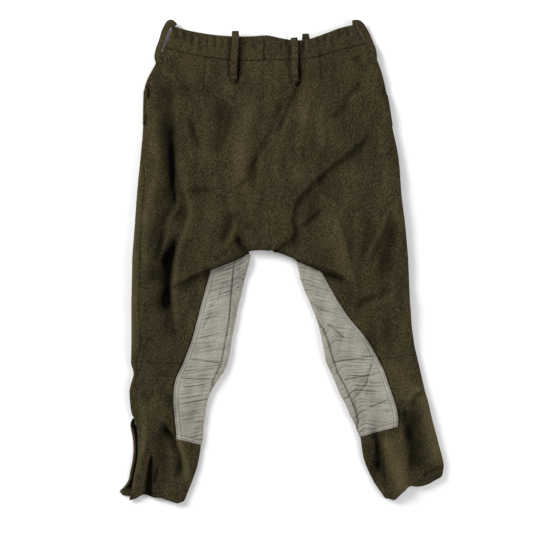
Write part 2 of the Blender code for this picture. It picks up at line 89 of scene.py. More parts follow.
# The half width of a pucker, those of the shadow below a lap and above it, and the place and half width of
# the shadow beside a back loop.
PUCKER_HALF = 3.0
LAP_SHADOW = (11, 3)
LOOP_SHADOW = (7, 4.5)
# The lap dies away from this share of a row's width, over that share.
LAP_FROM = 0.5
LAP_OVER = 0.3
HEM_DEPTH = 9.0
# The strapping lifts the underside by its own thickness, and that dies away over a ramp. It starts and ends
# this share of a row away from its rows in the table.
STRAP_UNDER = 1.1
STRAP_RAMP = 14.0
STRAP_SHY = 0.03
# Lengths that set how many columns or rows each stretch gets: the strapping's width, the back and the front
# beyond it, and the strapping's own length and its widths on the back and the front.
PATCH_RUN, BACK_RUN, FRONT_RUN = 78, 170, 210
STRAP_LENGTH, STRAP_BACK_RUN, STRAP_FRONT_RUN = 400, 60, 40
# How many points measure a row, and the closer steps beside a piece's edge and the rows that are edges.
DENSE = 90
EDGE_STEPS = (0.0, 0.7, 1.7, 3.0)
EDGE_ROWS = ("top", "waist", "knee", "hem")
# q at the front's outer edge where the side is slit.
SLIT_Q = 2.04
# How far in from an edge the welts, the fly's underlap and the closed placket reach.
WELT_REACH = 9.5
FLY_REACH = 43
PLACKET_REACH = (26, 50)
# Above the middle of the picture, with half of what it shows at the height of the cloth, in metres.
CAMERA_AT = (-0.0296, -0.0100, 3.0)
VIEW_HALF = 0.519675
CLOTH_HEIGHT = 0.012
# Each lamp's place and size in metres, and its power in watts.
LAMPS = {"key": ((-2.2, 1.5, 1.9), 1.6, 112), "fill": ((2.4, -0.5, 1.9), 1.8, 52)}

# Each row crosses one half from its inner end to its outer edge. bow and dip sag the row, lap slides its
# inner part along Y, z_in to z_out are heights across the top, floor is the height of the underside,
# side and inseam are the seams' distances from the two edges, patch is the strapping's width, and open
# says how far the outer edge is slit.
COLUMNS = (
    "out_x", "out_y", "in_x", "in_y", "bow", "dip", "lap",
    "z_in", "z_near", "z_far", "z_out", "floor", "side", "inseam", "patch", "open",
)
LEFT = {
    "top":        (-211, 459, -33, 441, 9, 0, 0, 13, 14, 14, 12, 2, 1, 0, 66, 0),
    "waist":      (-228, 418, -33, 392, 9, 0, 0, 14, 15, 15, 13, 2, 1, 0, 70, 0),
    "yoke":       (-246, 385, -33, 362, 7, 0, 0, 16, 17, 17, 15, 2, 1, 0, 74, 0),
    "pocket":     (-267, 334, -34, 315, 3, 0, 0, 18, 19, 20, 19, 2, 1, 0, 78, 0),
    "hip":        (-269, 266, -40, 266, 0, 0, 0, 20, 21, 22, 22, 0, 3, 0, 80, 0),
    "seat":       (-274, 204, -37, 208, 0, 0, 0, 21, 23, 23, 24, 0, 9, 0, 80, 0),
    "low seat":   (-281, 132, -33, 149, 0, 0, 0, 22, 24, 23, 24, 0, 15, 0, 80, 0),
    "rise":       (-286, 61, -24, 89, 0, 0, 0, 22, 26, 23, 24, 0, 14, 0, 80, 0),
    "crotch":     (-290, 10, -20, 27, 0, 0, 0, 16, 26, 24, 24, 0, 16, 0, 80, 0),
    "crest":      (-292, -88, -62, 17, -8, 0, -3, 17, 26, 24, 23, 0, 17, 6, 80, 0),
    "foot":       (-292, -96, -61, 8, -8, 0, 3, 11, 13, 20, 22, 0, 17, 33, 84, 0),
    "thigh":      (-292, -124, -78, -58, -3, 0, 0, 11, 13, 17, 20, 0, 18, 20, 79, 0),
    "low thigh":  (-292, -161, -94, -130, 0, 0, 0, 11, 13, 16, 18, 0, 20, 10, 77, 0),
    "knee":       (-293, -196, -107, -202, 0, 0, 0, 11, 13, 15, 16, 0, 12, 11, 84, 0),
    "below knee": (-288, -219, -121, -225, 0, 0, 0, 11, 13, 14, 15, 0, 9, 8, 81, 0),
    "calf":       (-296, -254, -140, -256, 0, 0, 0, 11, 13, 14, 14, 0, 7, 1, 69, 0),
    "slit":       (-293, -292, -150, -295, 0, 0, 0, 11, 13, 14, 12, 0, 3, -3, 58, 0),
    "patch end":  (-282, -325, -156, -358, 0, 0, 0, 11, 13, 14, 10, 0, 1, -3, 49, 1),
    "shin":       (-280, -371, -162, -395, 0, 0, 0, 11, 13, 14, 10, 0, 1, -3, 46, 1),
    "ankle":      (-289, -426, -176, -436, 0, 0, 0, 11, 13, 13, 10, 0, 1, -3, 44, 1),
    "hem":        (-297, -467, -189, -467, 0, 0, 0, 11, 12, 12, 10, 0, 1, -3, 42, 1),
}
RIGHT = {
    "top":        (146, 462, -33, 441, 0, 18, 0, 13, 14, 14, 12, 2, -2, 0, 66, 0),
    "waist":      (167, 424, -33, 392, 0, 10, 0, 14, 15, 15, 13, 2, -2, 0, 70, 0),
    "yoke":       (191, 385, -33, 362, 0, 6, 0, 16, 17, 17, 15, 2, -2, 0, 74, 0),
    "pocket":     (207, 325, -34, 315, 0, 2, 0, 18, 19, 18, 18, 2, -2, 0, 78, 0),
    "hip":        (217, 264, -40, 266, 0, 0, 0, 20, 21, 19, 20, 0, -2, 0, 80, 0),
    "seat":       (230, 198, -37, 208, 0, 0, 0, 21, 23, 20, 22, 0, -2, 0, 80, 0),
    "low seat":   (235, 132, -33, 149, 0, 0, 0, 22, 23, 20, 22, 0, -2, 0, 80, 0),
    "rise":       (243, 65, -24, 89, 0, 0, 0, 22, 22, 21, 23, 0, -2, 0, 80, 0),
    "crotch":     (248, 8, -20, 27, 0, 0, 0, 16, 24, 22, 23, 0, -2, 0, 80, 0),
    "crest":      (252, -84, -8, 22, 0, 0, -3, 17, 24, 22, 22, 0, -2, 0, 60, 0),
    "foot":       (253, -94, 31, -2, 0, 0, 3, 11, 15, 22, 21, 0, -2, -6, 50, 0),
    "thigh":      (255, -124, 43, -44, 0, 0, 0, 11, 13, 16, 19, 0, -2, -5, 66, 0),
    "low thigh":  (258, -145, 60, -83, 0, 0, 0, 11, 13, 16, 18, 0, -2, -3, 72, 0),
    "above knee": (261, -165, 78, -134, 0, 0, 0, 11, 13, 15, 17, 0, -2, 6, 88, 0),
    "knee":       (265, -182, 91, -200, 0, 0, 0, 11, 13, 14, 16, 0, -2, 13, 98, 0),
    "below knee": (271, -208, 101, -219, 0, 0, 0, 11, 13, 14, 15, 0, -2, 10, 99, 0),
    "calf":       (280, -247, 115, -253, 0, 0, 0, 11, 13, 14, 15, 0, -2, 14, 98, 0),
    "shin":       (288, -276, 131, -286, 0, 0, 0, 11, 13, 14, 15, 0, -2, 12, 92, 0),
    "patch end":  (294, -303, 154, -342, 0, 0, 0, 11, 13, 15, 15, 0, -2, 0, 76, 0),
    "ankle":      (308, -356, 161, -383, 0, 0, 0, 11, 14, 15, 14, 0, -2, -3, 60, 0),
    "cuff":       (318, -399, 181, -430, 0, 0, 0, 11, 14, 14, 13, 0, -2, -3, 56, 0),
    "hem":        (314, -420, 204, -463, 0, 0, 0, 11, 13, 13, 12, 0, -2, -3, 54, 0),
}
ROWS = {"left": LEFT, "right": RIGHT}

# Each fold: half width on the left of its line and on the right, height (a trough is negative), painted
# shade (dark in a trough, negative for a painted highlight on a ridge or edge), whether it has its full
# strength from its start and to its end, and its line.
FOLDS = {
    "upper valley": (11, 18, -6, 0.35, 0, 0, (
        (-240, 362), (-221, 322), (-213, 282), (-209, 240), (-208, 195), (-210, 150),
    )),
    "left valley": (10, 15, -7, 0.5, 0, 0, (
        (-224, 325), (-217, 262), (-213, 205), (-212, 150), (-214, 110), (-226, 70), (-240, 30), (-246, -12),
    )),
    "valley core": (4, 6, -4, 0.72, 0, 0, ((-216, 245), (-212, 195), (-209, 140), (-202, 90))),
    "valley flank": (12, 8, -2, 0.3, 0, 0, ((-204, 190), (-198, 140), (-194, 104), (-202, 70))),
    "left gulf": (8, 13, -9, 1.1, 0, 0, (
        (-201, 56), (-210, 22), (-215, 0), (-219, -28), (-221, -58), (-224, -108),
    )),
    "gulf flank": (12, 16, -3, 0.6, 0, 0, ((-214, 30), (-230, 4), (-242, -20), (-240, -50))),
    "gulf tail": (3, 19, -4, 0.5, 0, 0, ((-221, -56), (-215, -92), (-209, -122), (-203, -158))),
    "left rim": (13, 4, 5, -0.4, 0, 0, (
        (-205, 221), (-201, 188), (-191, 145), (-179, 114), (-177, 85), (-189, 52), (-201, 26), (-206, -20),
        (-209, -52), (-205, -79), (-201, -104), (-199, -137), (-189, -169),
    )),
    "thigh roll": (12, 16, 3, -0.35, 0, 0, (
        (-255, 331), (-244, 256), (-242, 178), (-250, 120), (-263, 61), (-265, -1), (-261, -59),
    )),
    "streak a": (4, 4, 3, -0.2, 0, 0, ((-193, 112), (-214, 84), (-232, 57))),
    "streak b": (4, 4, 3, -0.2, 0, 0, ((-216, 52), (-227, 31), (-233, 0))),
    "streak gap": (5, 5, -3, 0.4, 0, 0, ((-224, 56), (-240, 21), (-243, -6))),
    "under lip left": (2, 12, 0, 0.5, 0, 0, ((-212, -54), (-179, -31), (-158, -20), (-130, -7))),
    "bunch a": (6, 13, -5, 0.3, 0, 0, ((-90, 96), (-101, 62), (-112, 34))),
    "bunch b": (9, 5, -3, 0.3, 0, 0, ((-92, 96), (-74, 74), (-55, 58))),
    "bunch ridge": (7, 6, 4, -0.25, 0, 0, ((-84, 76), (-98, 44), (-118, 14))),
    "bunch pit": (6, 5, -6, 0.6, 0, 1, ((-90, 50), (-82, 38), (-76, 28), (-67, 17))),
    "bunch swell": (9, 9, 4, -0.3, 0, 0, ((-74, 60), (-58, 42), (-44, 32))),
    "seat dip left": (6, 26, -5, 0.36, 0, 0, (
        (-131, 319), (-111, 307), (-99, 290), (-101, 260), (-115, 227), (-131, 192),
    )),
    "seat hump left": (18, 16, 4, -0.4, 0, 0, ((-42, 345), (-60, 285), (-72, 235), (-80, 185), (-82, 120))),
    "hip crease": (4, 5, -3, 0.28, 0, 0, ((-176, 274), (-164, 241), (-156, 214))),
    "hip ridge": (7, 6, 3, -0.15, 0, 0, ((-189, 292), (-179, 245), (-176, 217))),
    "cross crease left": (5, 9, -3, 0.3, 0, 0, ((-182, 136), (-148, 139), (-127, 133))),
    "yoke dip left": (18, 22, -3, 0.38, 0, 0, ((-236, 346), (-187, 334), (-138, 329), (-115, 319))),
    "loop crease left": (5, 7, -2, 0.25, 0, 0, ((-55, 354), (-82, 330), (-97, 306))),
    "mid crease left": (7, 5, -2.5, 0.25, 0, 0, ((-44, 212), (-58, 163), (-86, 138))),
    "centre dip": (5, 6, -3, 0.32, 0, 0, (
        (12, 323), (-4, 292), (-18, 256), (-33, 225), (-51, 198), (-66, 159),
    )),
    "centre ridge right": (9, 9, 2, -0.3, 0, 0, ((24, 322), (14, 282), (2, 241), (-10, 200), (-12, 150))),
    "centre crease": (5, 6, -3, 0.4, 0, 0, ((40, 352), (28, 326), (13, 291), (1, 266), (-8, 238))),
    "ridge beside": (8, 8, 2, -0.3, 0, 0, ((60, 330), (48, 285), (36, 240), (30, 205))),
    "right seat ridge": (9, 7, 2, -0.3, 0, 0, ((80, 309), (76, 243), (85, 212))),
    "upper diagonal a": (7, 4, -2.5, 0.3, 0, 0, ((158, 354), (138, 328), (116, 305))),
    "upper diagonal b": (7, 4, -2.5, 0.3, 0, 0, ((137, 312), (117, 294), (96, 278))),
    "short crease right": (4, 4, -2, 0.25, 0, 0, ((43, 222), (47, 201), (49, 180))),
    "side crease right": (8, 8, -3, 0.3, 0, 0, ((140, 400), (158, 384), (169, 366))),
    "pouch crease": (5, 6, -3, 0.4, 0, 0, ((86, 106), (62, 83), (37, 63))),
    "fine crease": (3, 3, -1.5, 0.2, 0, 0, ((82, 132), (99, 126), (115, 116))),
    "thigh ridge right": (6, 24, 6, -0.4, 0, 0, (
        (101, 110), (115, 65), (125, 26), (135, -15), (144, -48), (150, -69),
    )),
    "long ridge": (3, 4, 6, -0.35, 0, 0, (
        (214, 110), (205, 85), (195, 59), (181, 34), (172, 15), (168, -13),
    )),
    "dip inside": (11, 10, -4, 0.2, 0, 0, ((177, 97), (174, 61), (160, 13), (154, -26))),
    "dip outside": (16, 12, -5, 0.38, 0, 0, ((224, 84), (212, 46), (201, 4), (200, -44))),
    "under lip right": (2, 10, 0, 0.42, 1, 0, (
        (-10, 22), (27, 6), (76, -11), (101, -18), (123, -31), (136, -48), (150, -67),
    )),
    "lip pit right": (6, 8, -4, 0.45, 0, 0, ((84, -22), (104, -29), (124, -40))),
    "knee dip": (5, 9, -4, 0.4, 0, 0, ((224, -52), (205, -61), (181, -73), (158, -83), (148, -98))),
    "knee swell": (6, 6, 2.5, -0.1, 0, 0, ((216, -71), (193, -83), (174, -95))),
    "v left": (5, 5, -2, 0.15, 0, 1, ((-271, -256), (-258, -272))),
    "v right": (5, 5, -2, 0.15, 1, 0, ((-258, -272), (-246, -253))),
    "patch side dip": (6, 8, -3, 0.35, 0, 0, ((-216, -258), (-220, -290))),
    "slit lip": (6, 7, 2, -0.45, 0, 0, (
        (-273, -293), (-267, -325), (-269, -362), (-277, -397), (-285, -434), (-291, -465),
    )),
    "calf crease": (2, 12, -4, 0.8, 0, 0, (
        (-236, -307), (-210, -343), (-196, -378), (-193, -407), (-195, -434),
    )),
    "calf trough": (11, 9, -3, 0.22, 0, 0, ((-236, -325), (-238, -362), (-234, -401))),
    "calf swell": (8, 8, 2, -0.1, 0, 0, ((-224, -348), (-213, -377), (-209, -410), (-211, -461))),
    "hem corner crease": (4, 3, -2, 0.35, 0, 0, ((-284, -416), (-274, -427))),
    "hem tick": (3, 3, -2, 0.3, 0, 0, ((-240, -402), (-248, -438))),
    "hem dark": (14, 12, -1, 0.35, 0, 1, ((-252, -390), (-256, -430), (-258, -462))),
    "calf dark": (18, 18, -1, 0.22, 0, 0, ((-232, -300), (-238, -340), (-232, -390), (-222, -420))),
    "calf rim": (7, 11, 2.5, -0.75, 0, 0, ((-208, -330), (-193, -362), (-183, -400), (-183, -440))),
    "seam roll": (5, 8, 2, -0.3, 0, 0, ((-276, -270), (-262, -310), (-262, -350), (-272, -400))),
    "right valley": (19, 12, -7, 0.5, 0, 0, (
        (230, -262), (246, -286), (257, -309), (262, -350), (266, -381), (262, -414),
    )),
    "right swell": (10, 12, 2, -0.1, 0, 0, ((236, -309), (238, -348), (242, -387), (240, -438))),
    "right bright": (15, 15, 5, -1.1, 0, 1, ((203, -335), (214, -372), (222, -407), (236, -445))),
    "inner pit": (6, 7, -6, 0.85, 0, 0, ((178, -322), (187, -352), (190, -380), (187, -415))),
    "inner dark": (12, 12, -2, 0.35, 0, 0, ((172, -345), (180, -380), (192, -430))),
    "valley dark": (9, 9, -3, 0.5, 0, 0, ((226, -270), (246, -325), (254, -375), (262, -425))),
    "pit side": (3, 6, -2, 0.35, 0, 0, ((195, -348), (201, -401), (207, -455))),
    "edge crease": (3, 7, -3, 0.5, 1, 0, ((283, -256), (262, -266), (254, -284))),
    "edge swell": (11, 6, 3, -0.5, 0, 0, ((285, -240), (262, -252), (247, -276), (243, -300))),
    "outer highlight": (18, 18, 1, -0.9, 0, 0, ((280, -235), (292, -300), (303, -360), (306, -410))),
    "calf highlight": (30, 30, 0, -0.5, 0, 0, ((205, -190), (225, -235), (262, -285))),
    "lap shadow": (20, 14, -1, 0.25, 0, 0, ((112, 176), (72, 134), (50, 98), (44, 66))),
    "strip highlight": (13, 18, 0, -0.5, 0, 0, ((-276, 250), (-284, 120), (-290, 0), (-290, -110), (-288, -200))),
    "pocket curl": (3, 4, 3, -0.55, 0, 0, ((-268, 346), (-263, 332), (-265, 314))),
    "curl shadow": (3, 2, -2, 0.8, 0, 0, ((-262, 345), (-257, 331), (-259, 312))),
    "pocket slit": (1.6, 1.6, -1, 0.9, 0, 0, ((-263, 288), (-262, 276), (-264, 264))),
    "cuff ridge": (4, 4, 2, -0.1, 0, 0, ((302, -360), (287, -387), (271, -412))),
    "cuff fold": (4, 3, -2, 0.35, 1, 0, ((312, -401), (292, -410), (273, -420))),
    "dart left": (1.4, 1.8, -0.9, 0.55, 1, 0, ((-147, 397), (-150, 360), (-151, 323))),
    "dart right": (1.8, 1.4, -0.9, 0.5, 1, 0, ((75, 405), (77, 376), (78, 348))),
}
# A pleat widens along its line: half width at its start and end, height, shade and line.
PLEATS = {
    "hem pleat": (2.0, 8.5, -8, 1.0, ((-252, -371), (-257, -418), (-260, -462))),
}
# A lap has its high side on the right of its line: how wide its step is, its height, how far it reaches
# before it dies away, the shade below it, and its line.
LAPS = {
    "diagonal": (9, 8, 60, 0.45, (
        (181, 292), (173, 256), (158, 231), (127, 206), (92, 178), (60, 150), (39, 126), (27, 104), (23, 77),
        (29, 56), (21, 44), (-6, 26),
    )),
}
# The waistband's upright puckers: place along X, middle along Y, half length and depth.
PUCKERS = (
    (-203, 446, 9, 1.2), (-188, 440, 11, 1.4), (-172, 432, 13, 1.2), (-158, 424, 14, 1.3),
    (-143, 429, 9, 1.2), (-128, 425, 12, 1.3), (-113, 421, 10, 1.0), (-70, 425, 9, 1.0),
    (-52, 418, 8, 1.0), (0, 418, 8, 1.0), (12, 425, 7, 1.3), (44, 424, 12, 1.2),
    (58, 432, 9, 1.4), (72, 425, 13, 1.1), (86, 437, 10, 1.4), (100, 433, 12, 1.2),
    (114, 444, 9, 1.2), (130, 448, 8, 1.0),
)

# The side loops stand out past the edge: tilt in degrees, and the line, with its heights between the sewn
# ends.
SIDE_LOOPS = {
    "belt_loop_side_left": (
        "left", -35, (
            (-207, 458), (-215, 465, 12.5), (-224, 455, 8), (-232.5, 432, 7.5), (-239, 410, 10.5),
            (-240, 398, 14), (-236, 386),
        ),
    ),
    "belt_loop_side_right": (
        "right", 14, (
            (139, 463), (150, 464, 12.5), (162, 451, 8), (172.5, 428, 8.5), (179, 410, 12),
            (180, 397, 15), (179, 385),
        ),
    ),
}
BACK_LOOPS = {
    "belt_loop_back_left": ("left", (-89, 449), (-92, 354)),
    "belt_loop_back_right": ("right", (25, 436), (28, 350)),
}
FRONT_LOOPS = {
    "belt_loop_front_left": ((-110, 436), (-112, 350)),
    "belt_loop_front_right": ((48, 446), (50, 360)),
}
# Seams across the strapping.
STRAP_LINES = (
    ((-175.5, -190.1), (-120.9, -197.1)), ((-193, -227.2), (-132.6, -229.1)),
    ((103.4, -196), (179.4, -184.3)), ((124.8, -231), (195, -215.5)), ((173.6, -283.7), (206.7, -270)),
)
# Slanting creases in the strapping: half width, shade and line.
STRAP_CREASES = (
    (2.2, 0.6, ((92, -122), (106, -134), (121, -147))), (2.6, 0.6, ((175, -202), (166, -237), (149, -260))),
    (5.0, 0.3, ((160, -225), (142, -262), (146, -290))),
    (2.4, 0.4, ((-137, -100), (-145, -115), (-153, -129))),
    (1.8, 0.4, ((-118, -60), (-124, -76), (-136, -86))), (1.8, 0.4, ((60, -80), (74, -92), (92, -98))),
)
# How far the strapping's rows of stitches are from its edges.
STITCH_ROWS = (2.6, 9.0)
# Sets of creases across the strapping: spacing, tilt, seed, width as a share of the spacing, and depth.
STRAP_WRINKLES = ((7.9, 0.02, 13, 0.34, 0.75), (6.1, -0.03, 14, 0.38, 0.6), (11.7, 0.07, 16, 0.26, 0.6))
# A belt loop's steps and columns, the share of it that is sewn down at an end, how long its rounded ends
# are, and where its stitches lie between its middle and its edge.
LOOP_STEPS = 48
LOOP_COLUMNS = 8
LOOP_SEWN_END = 0.14
LOOP_CORNER = 4.0
LOOP_SEWING = 0.72

# How far the cloth at the crotch is pushed up or down: place, half width, half height and rise.
BOTTOM = ((-20, 25, 15, 22, -4.5), (-66, 14, 20, 22, 4))
# How far each hem is pushed up or down: place along X, half width and rise.
HEM_WAVES = {
    "left": ((-266, 17, 12), (-236, 13, 5), (-202, 10, -5)),
    "right": ((222, 10, -9), (251, 10, 7), (285, 18, -4)),
}

# The left placket strip: its free edge and its share of the full width at each height, and its top face's
# height across it.
PLACKET_EDGE = (
    (-290, -307, 0.1), (-293.5, -314, 0.2), (-294.5, -321, 0.35), (-293.5, -328, 1), (-291, -340, 1),
    (-289, -356, 1), (-289, -374, 1), (-291, -392, 1), (-295, -411, 1), (-299, -429, 1), (-307, -441, 1),
    (-315, -450, 1), (-309, -458, 1),
)
PLACKET_ACROSS = ((0, 1.8), (3, 1.8), (9, 3.9), (34, 3.9))


def smoothstep(t):
    """A smooth rise from 0 to 1 as t goes from 0 to 1, and flat outside."""
    t = np.clip(t, 0.0, 1.0)
    return t * t * (3.0 - 2.0 * t)


def bell(distance, half, power=2):
    """1 at no distance and dying away past the half width, flatter on top with a higher power."""
    return np.exp(-((distance / half) ** power))


def cubic_between(start, end, leaving, arriving, t):
    """The cubic from one value to the next with the slopes at its ends given, as t goes from 0 to 1."""
    return (
        start * (1 + 2 * t) * (1 - t) ** 2 + leaving * t * (1 - t) ** 2
        + end * t * t * (3 - 2 * t) - arriving * t * t * (1 - t)
    )


def value_noise(x, y, size, seed):
    """Smooth noise from -1 to 1: random values on a square lattice of that size, blended by smoothsteps."""
    side = 64
    lattice = np.random.default_rng(seed).uniform(-1, 1, (side, side))
    column, row = np.floor(x / size).astype(int), np.floor(y / size).astype(int)
    across_cell, up_cell = smoothstep(x / size - column), smoothstep(y / size - row)
    column, row = column % side, row % side
    right, above = (column + 1) % side, (row + 1) % side
    low = lattice[column, row] * (1 - across_cell) + lattice[right, row] * across_cell
    high = lattice[column, above] * (1 - across_cell) + lattice[right, above] * across_cell
    return low * (1 - up_cell) + high * up_cell


def row_number(side, name):
    """The position of a named row down its half."""
    return list(ROWS[side]).index(name)


def curve_slopes(values, corner):
    """Slopes at the rows: the harmonic mean of the two neighbouring steps, none where they turn back."""
    steps = np.diff(values)
    slopes = np.zeros(len(values))
    slopes[0], slopes[-1] = steps[0], steps[-1]
    product = steps[:-1] * steps[1:]
    total = np.where(product > 0, steps[:-1] + steps[1:], 1.0)
    slopes[1:-1] = np.where(product > 0, 2.0 * product / total, 0.0)
    before, after = slopes.copy(), slopes.copy()
    before[corner] = steps[corner - 1]
    after[corner] = steps[corner]
    return before, after


def rows_at(side, v):
    """Each column of the table at the row position v, by cubics that never overshoot a row."""
    table = np.array(list(ROWS[side].values()), float)
    corner, crest = row_number(side, "crotch"), row_number(side, "crest")
    index = np.clip(np.floor(v).astype(int), 0, len(table) - 2)
    t = np.clip(v - index, 0.0, 1.0)
    found = {"leg": smoothstep((v - corner) / (crest - corner))}
    for name, values in zip(COLUMNS, table.T):
        before, after = curve_slopes(values, corner)
        found[name] = cubic_between(values[index], values[index + 1], after[index], before[index + 1], t)
    return found


def run_along(line):
    """How far along a line of points each of them is."""
    return np.concatenate([[0.0], np.cumsum(np.linalg.norm(np.diff(line, axis=0), axis=1))])


def nearest_on_line(line, x, y):
    """How far along the line the nearest point is, 0 to 1, and the distance to it, positive to its left."""
    line = np.array(line, float)
    starts = run_along(line)
    best = np.full(x.shape, np.inf)
    along, offset = np.zeros(x.shape), np.zeros(x.shape)
    for a, b, start, end in zip(line[:-1], line[1:], starts[:-1], starts[1:]):
        tx, ty = (b - a) / (end - start)
        reach = np.clip((x - a[0]) * tx + (y - a[1]) * ty, 0.0, end - start)
        px, py = x - a[0] - reach * tx, y - a[1] - reach * ty
        distance = np.hypot(px, py)
        nearer = distance < best
        best = np.where(nearer, distance, best)
        along = np.where(nearer, (start + reach) / starts[-1], along)
        offset = np.where(nearer, np.where(tx * py - ty * px >= 0, distance, -distance), offset)
    return along, offset


def faded(along, from_start=0, to_end=0):
    """A fold's strength along its line, dying away towards the ends where it isn't full."""
    start = 1.0 if from_start else smoothstep(along / FADE)
    end = 1.0 if to_end else smoothstep((1 - along) / FADE)
    return start * end


def folds(x, y):
    """The height that the folds add at each point of the plan, and the shade painted on the cloth there."""
    rumple, streak = value_noise(x, y, 41, 3), value_noise(x + 0.12 * y, y / 2.6, 16, 5)
    height = 1.9 * rumple + 1.5 * streak + 0.35 * value_noise(x, y, 9, 4)
    # Painted highlight where the rumples and streaks stand high, and a random mottle of tone.
    shade = -0.08 * rumple - 0.2 * streak + 0.16 * value_noise(x - 0.2 * y, y / 4, 7, 7)
    # Each fold paints shade in its trough, or a highlight on its ridge where its shade is negative.
    for left, right, rise, dark, from_start, to_end, line in FOLDS.values():
        along, offset = nearest_on_line(line, x, y)
        form = bell(offset, np.where(offset > 0, left, right)) * faded(along, from_start, to_end)
        height += rise * (DEEPER if rise < 0 else HIGHER) * form
        shade += dark * form
    for start, end, rise, dark, line in PLEATS.values():
        along, offset = nearest_on_line(line, x, y)
        form = bell(offset, start + (end - start) * along, 4) * smoothstep(along / FADE)
        height += rise * form
        shade += dark * form
    # Painted shadow below each lap.
    for width, rise, reach, dark, line in LAPS.values():
        along, offset = nearest_on_line(line, x, y)
        kept = faded(along, 0, 1)
        step = 0.5 * (1 - np.tanh(2 * offset / width))
        height += rise * step * bell(np.maximum(-offset, 0), reach) * kept
        shade += dark * bell(offset, np.where(offset > 0, *LAP_SHADOW)) * kept
    # Painted shade in each pucker, and a painted highlight beside it.
    for place, middle, half, depth in PUCKERS:
        upright = bell(y - middle, half, 4)
        form = bell(x - place, PUCKER_HALF) * upright
        height -= 1.3 * depth * form
        shade += 0.4 * form - 0.2 * bell(x - place - 2 * PUCKER_HALF, PUCKER_HALF) * upright
    # Painted shadow beside each back loop, darker on the side towards +X.
    for _, top, bottom in BACK_LOOPS.values():
        offset = nearest_on_line((top, bottom), x, y)[1]
        shade += bell(np.abs(offset) - LOOP_SHADOW[0], LOOP_SHADOW[1], 4) * np.where(offset > 0, 0.85, 0.35)
    return height, shade


def hem_wave(side, x, v):
    """How far the cloth near the hem is pushed up: in full on the last row, not at all on the row before."""
    rise = sum(height * bell(x - place, half) for place, half, height in HEM_WAVES[side])
    return rise * smoothstep(v - len(ROWS[side]) + 2)


def crown_at(t, row):
    """The cubic through a row's four heights, which are a third of its width apart."""
    third = 3.0 * t
    return (
        -row["z_in"] * (third - 1) * (third - 2) * (third - 3) / 6
        + row["z_near"] * third * (third - 2) * (third - 3) / 2
        - row["z_far"] * third * (third - 1) * (third - 3) / 2
        + row["z_out"] * third * (third - 1) * (third - 2) / 6
    )


def section_sizes(row):
    """A row's width in plan, and the radii of its inner and outer rolls."""
    width = np.hypot(row["out_x"] - row["in_x"], row["out_y"] - row["in_y"])
    return width, row["leg"] * row["z_in"] / 2, row["z_out"] / 2


def skin(side, q, v):
    """The garment's outer face and the shade painted on it. v counts rows down the half, and q goes round it:
    -1 to 0 up the inner roll, 0 to 1 across the top, 1 to 2 down the outer roll, 2 to 3 back along the
    underside. Each roll is a half circle as deep as the cloth stands, and the top is a cubic with the folds
    added."""
    row = rows_at(side, v)
    q = np.mod(q + 1.0, 4.0) - 1.0
    width, inner, outer = section_sizes(row)
    flat = width - inner - outer - SEAM / 2
    top, under = np.clip(q, 0, 1), np.clip(q - 2, 0, 1)
    turn_in, turn_out = math.pi * np.clip(-q, 0, 1), math.pi * np.clip(q - 1, 0, 1)
    in_plan = SEAM / 2 + inner + flat * (top - under)
    in_plan = np.where(q < 0, SEAM / 2 + inner * (1 - np.sin(turn_in)), in_plan)
    in_plan = np.where((q > 1) & (q < 2), width - outer * (1 - np.sin(turn_out)), in_plan)
    u = in_plan / width
    sag = row["bow"] * 4 * u * (1 - u) + row["dip"] * np.sin(math.pi * u ** 0.8) ** 2
    share = np.where(q < 0, (1 + np.cos(turn_in)) / 2, (1 + np.cos(turn_out)) / 2)
    lap = row["lap"] * share * (1 - smoothstep((u - LAP_FROM) / LAP_OVER))
    x = row["in_x"] + (row["out_x"] - row["in_x"]) * u
    y = row["in_y"] + (row["out_y"] - row["in_y"]) * u - sag + lap + hem_wave(side, x, v)
    y = y + sum(rise * bell(x - to_x, wide) * bell(y - to_y, high) for to_x, to_y, wide, high, rise in BOTTOM)
    from_foot, to_end = v - row_number(side, "foot"), row_number(side, "patch end") + 0.6 - v
    patch_rows = smoothstep(from_foot * 4 + 1) * smoothstep(to_end * 2)
    ramp = smoothstep((row["patch"] + STRAP_RAMP - in_plan) / STRAP_RAMP)
    floor = row["floor"] + (STRAP_UNDER + SEAM) * patch_rows * ramp
    height, shade = folds(x, y)
    crown = np.maximum(np.where(q < 0, row["z_in"], crown_at(top, row)) + height, LOWEST_TOP)
    z = floor + (crown - floor) * share
    # Painted shadow on the wool beside the strapping's edge.
    shade = shade * share + 0.6 * patch_rows * bell(in_plan - row["patch"] - 2.2, 1.8)
    # Painted highlight along the outer edge, and along the inner edge of the leg.
    shade = shade - 0.5 * bell(width - in_plan, 2.4) - 0.35 * row["leg"] * bell(in_plan, 2.4)
    return np.stack([x, y, z], axis=-1) - MIDDLE, shade


def q_from_inner_edge(side, v, distance):
    """q on the top or the inner roll at a distance in plan from the inner edge, negative past its middle."""
    width, inner, outer = section_sizes(rows_at(side, v))
    inner = np.maximum(inner, 1e-6)
    on_roll = -0.5 + np.arcsin(np.clip(distance / inner, -1, 1)) / math.pi
    return np.where(distance > inner, (distance - inner) / (width - inner - outer), on_roll)


def side_q(side, v):
    """Where the back ends at its outer edge: the side seam."""
    row = rows_at(side, v)
    width, inner, outer = section_sizes(row)
    on_roll = 1.5 - np.arcsin(np.clip(row["side"] / outer, -1, 1)) / math.pi
    return np.where(row["side"] > outer, 1 - (row["side"] - outer) / (width - inner - outer), on_roll)


def centre_turn(side, v):
    """How far a piece turns down at the centre seam: not at all, then halfway just above the crotch."""
    return 0.5 * smoothstep((v - row_number(side, "crotch") + 0.12) / 0.12)


def inseam_q(side, v):
    """Where the back ends at its inner edge: the centre seam down to the crotch, then the inseam."""
    on_leg = q_from_inner_edge(side, v, rows_at(side, v)["inseam"])
    return np.where(v > row_number(side, "crotch"), on_leg, -centre_turn(side, v))


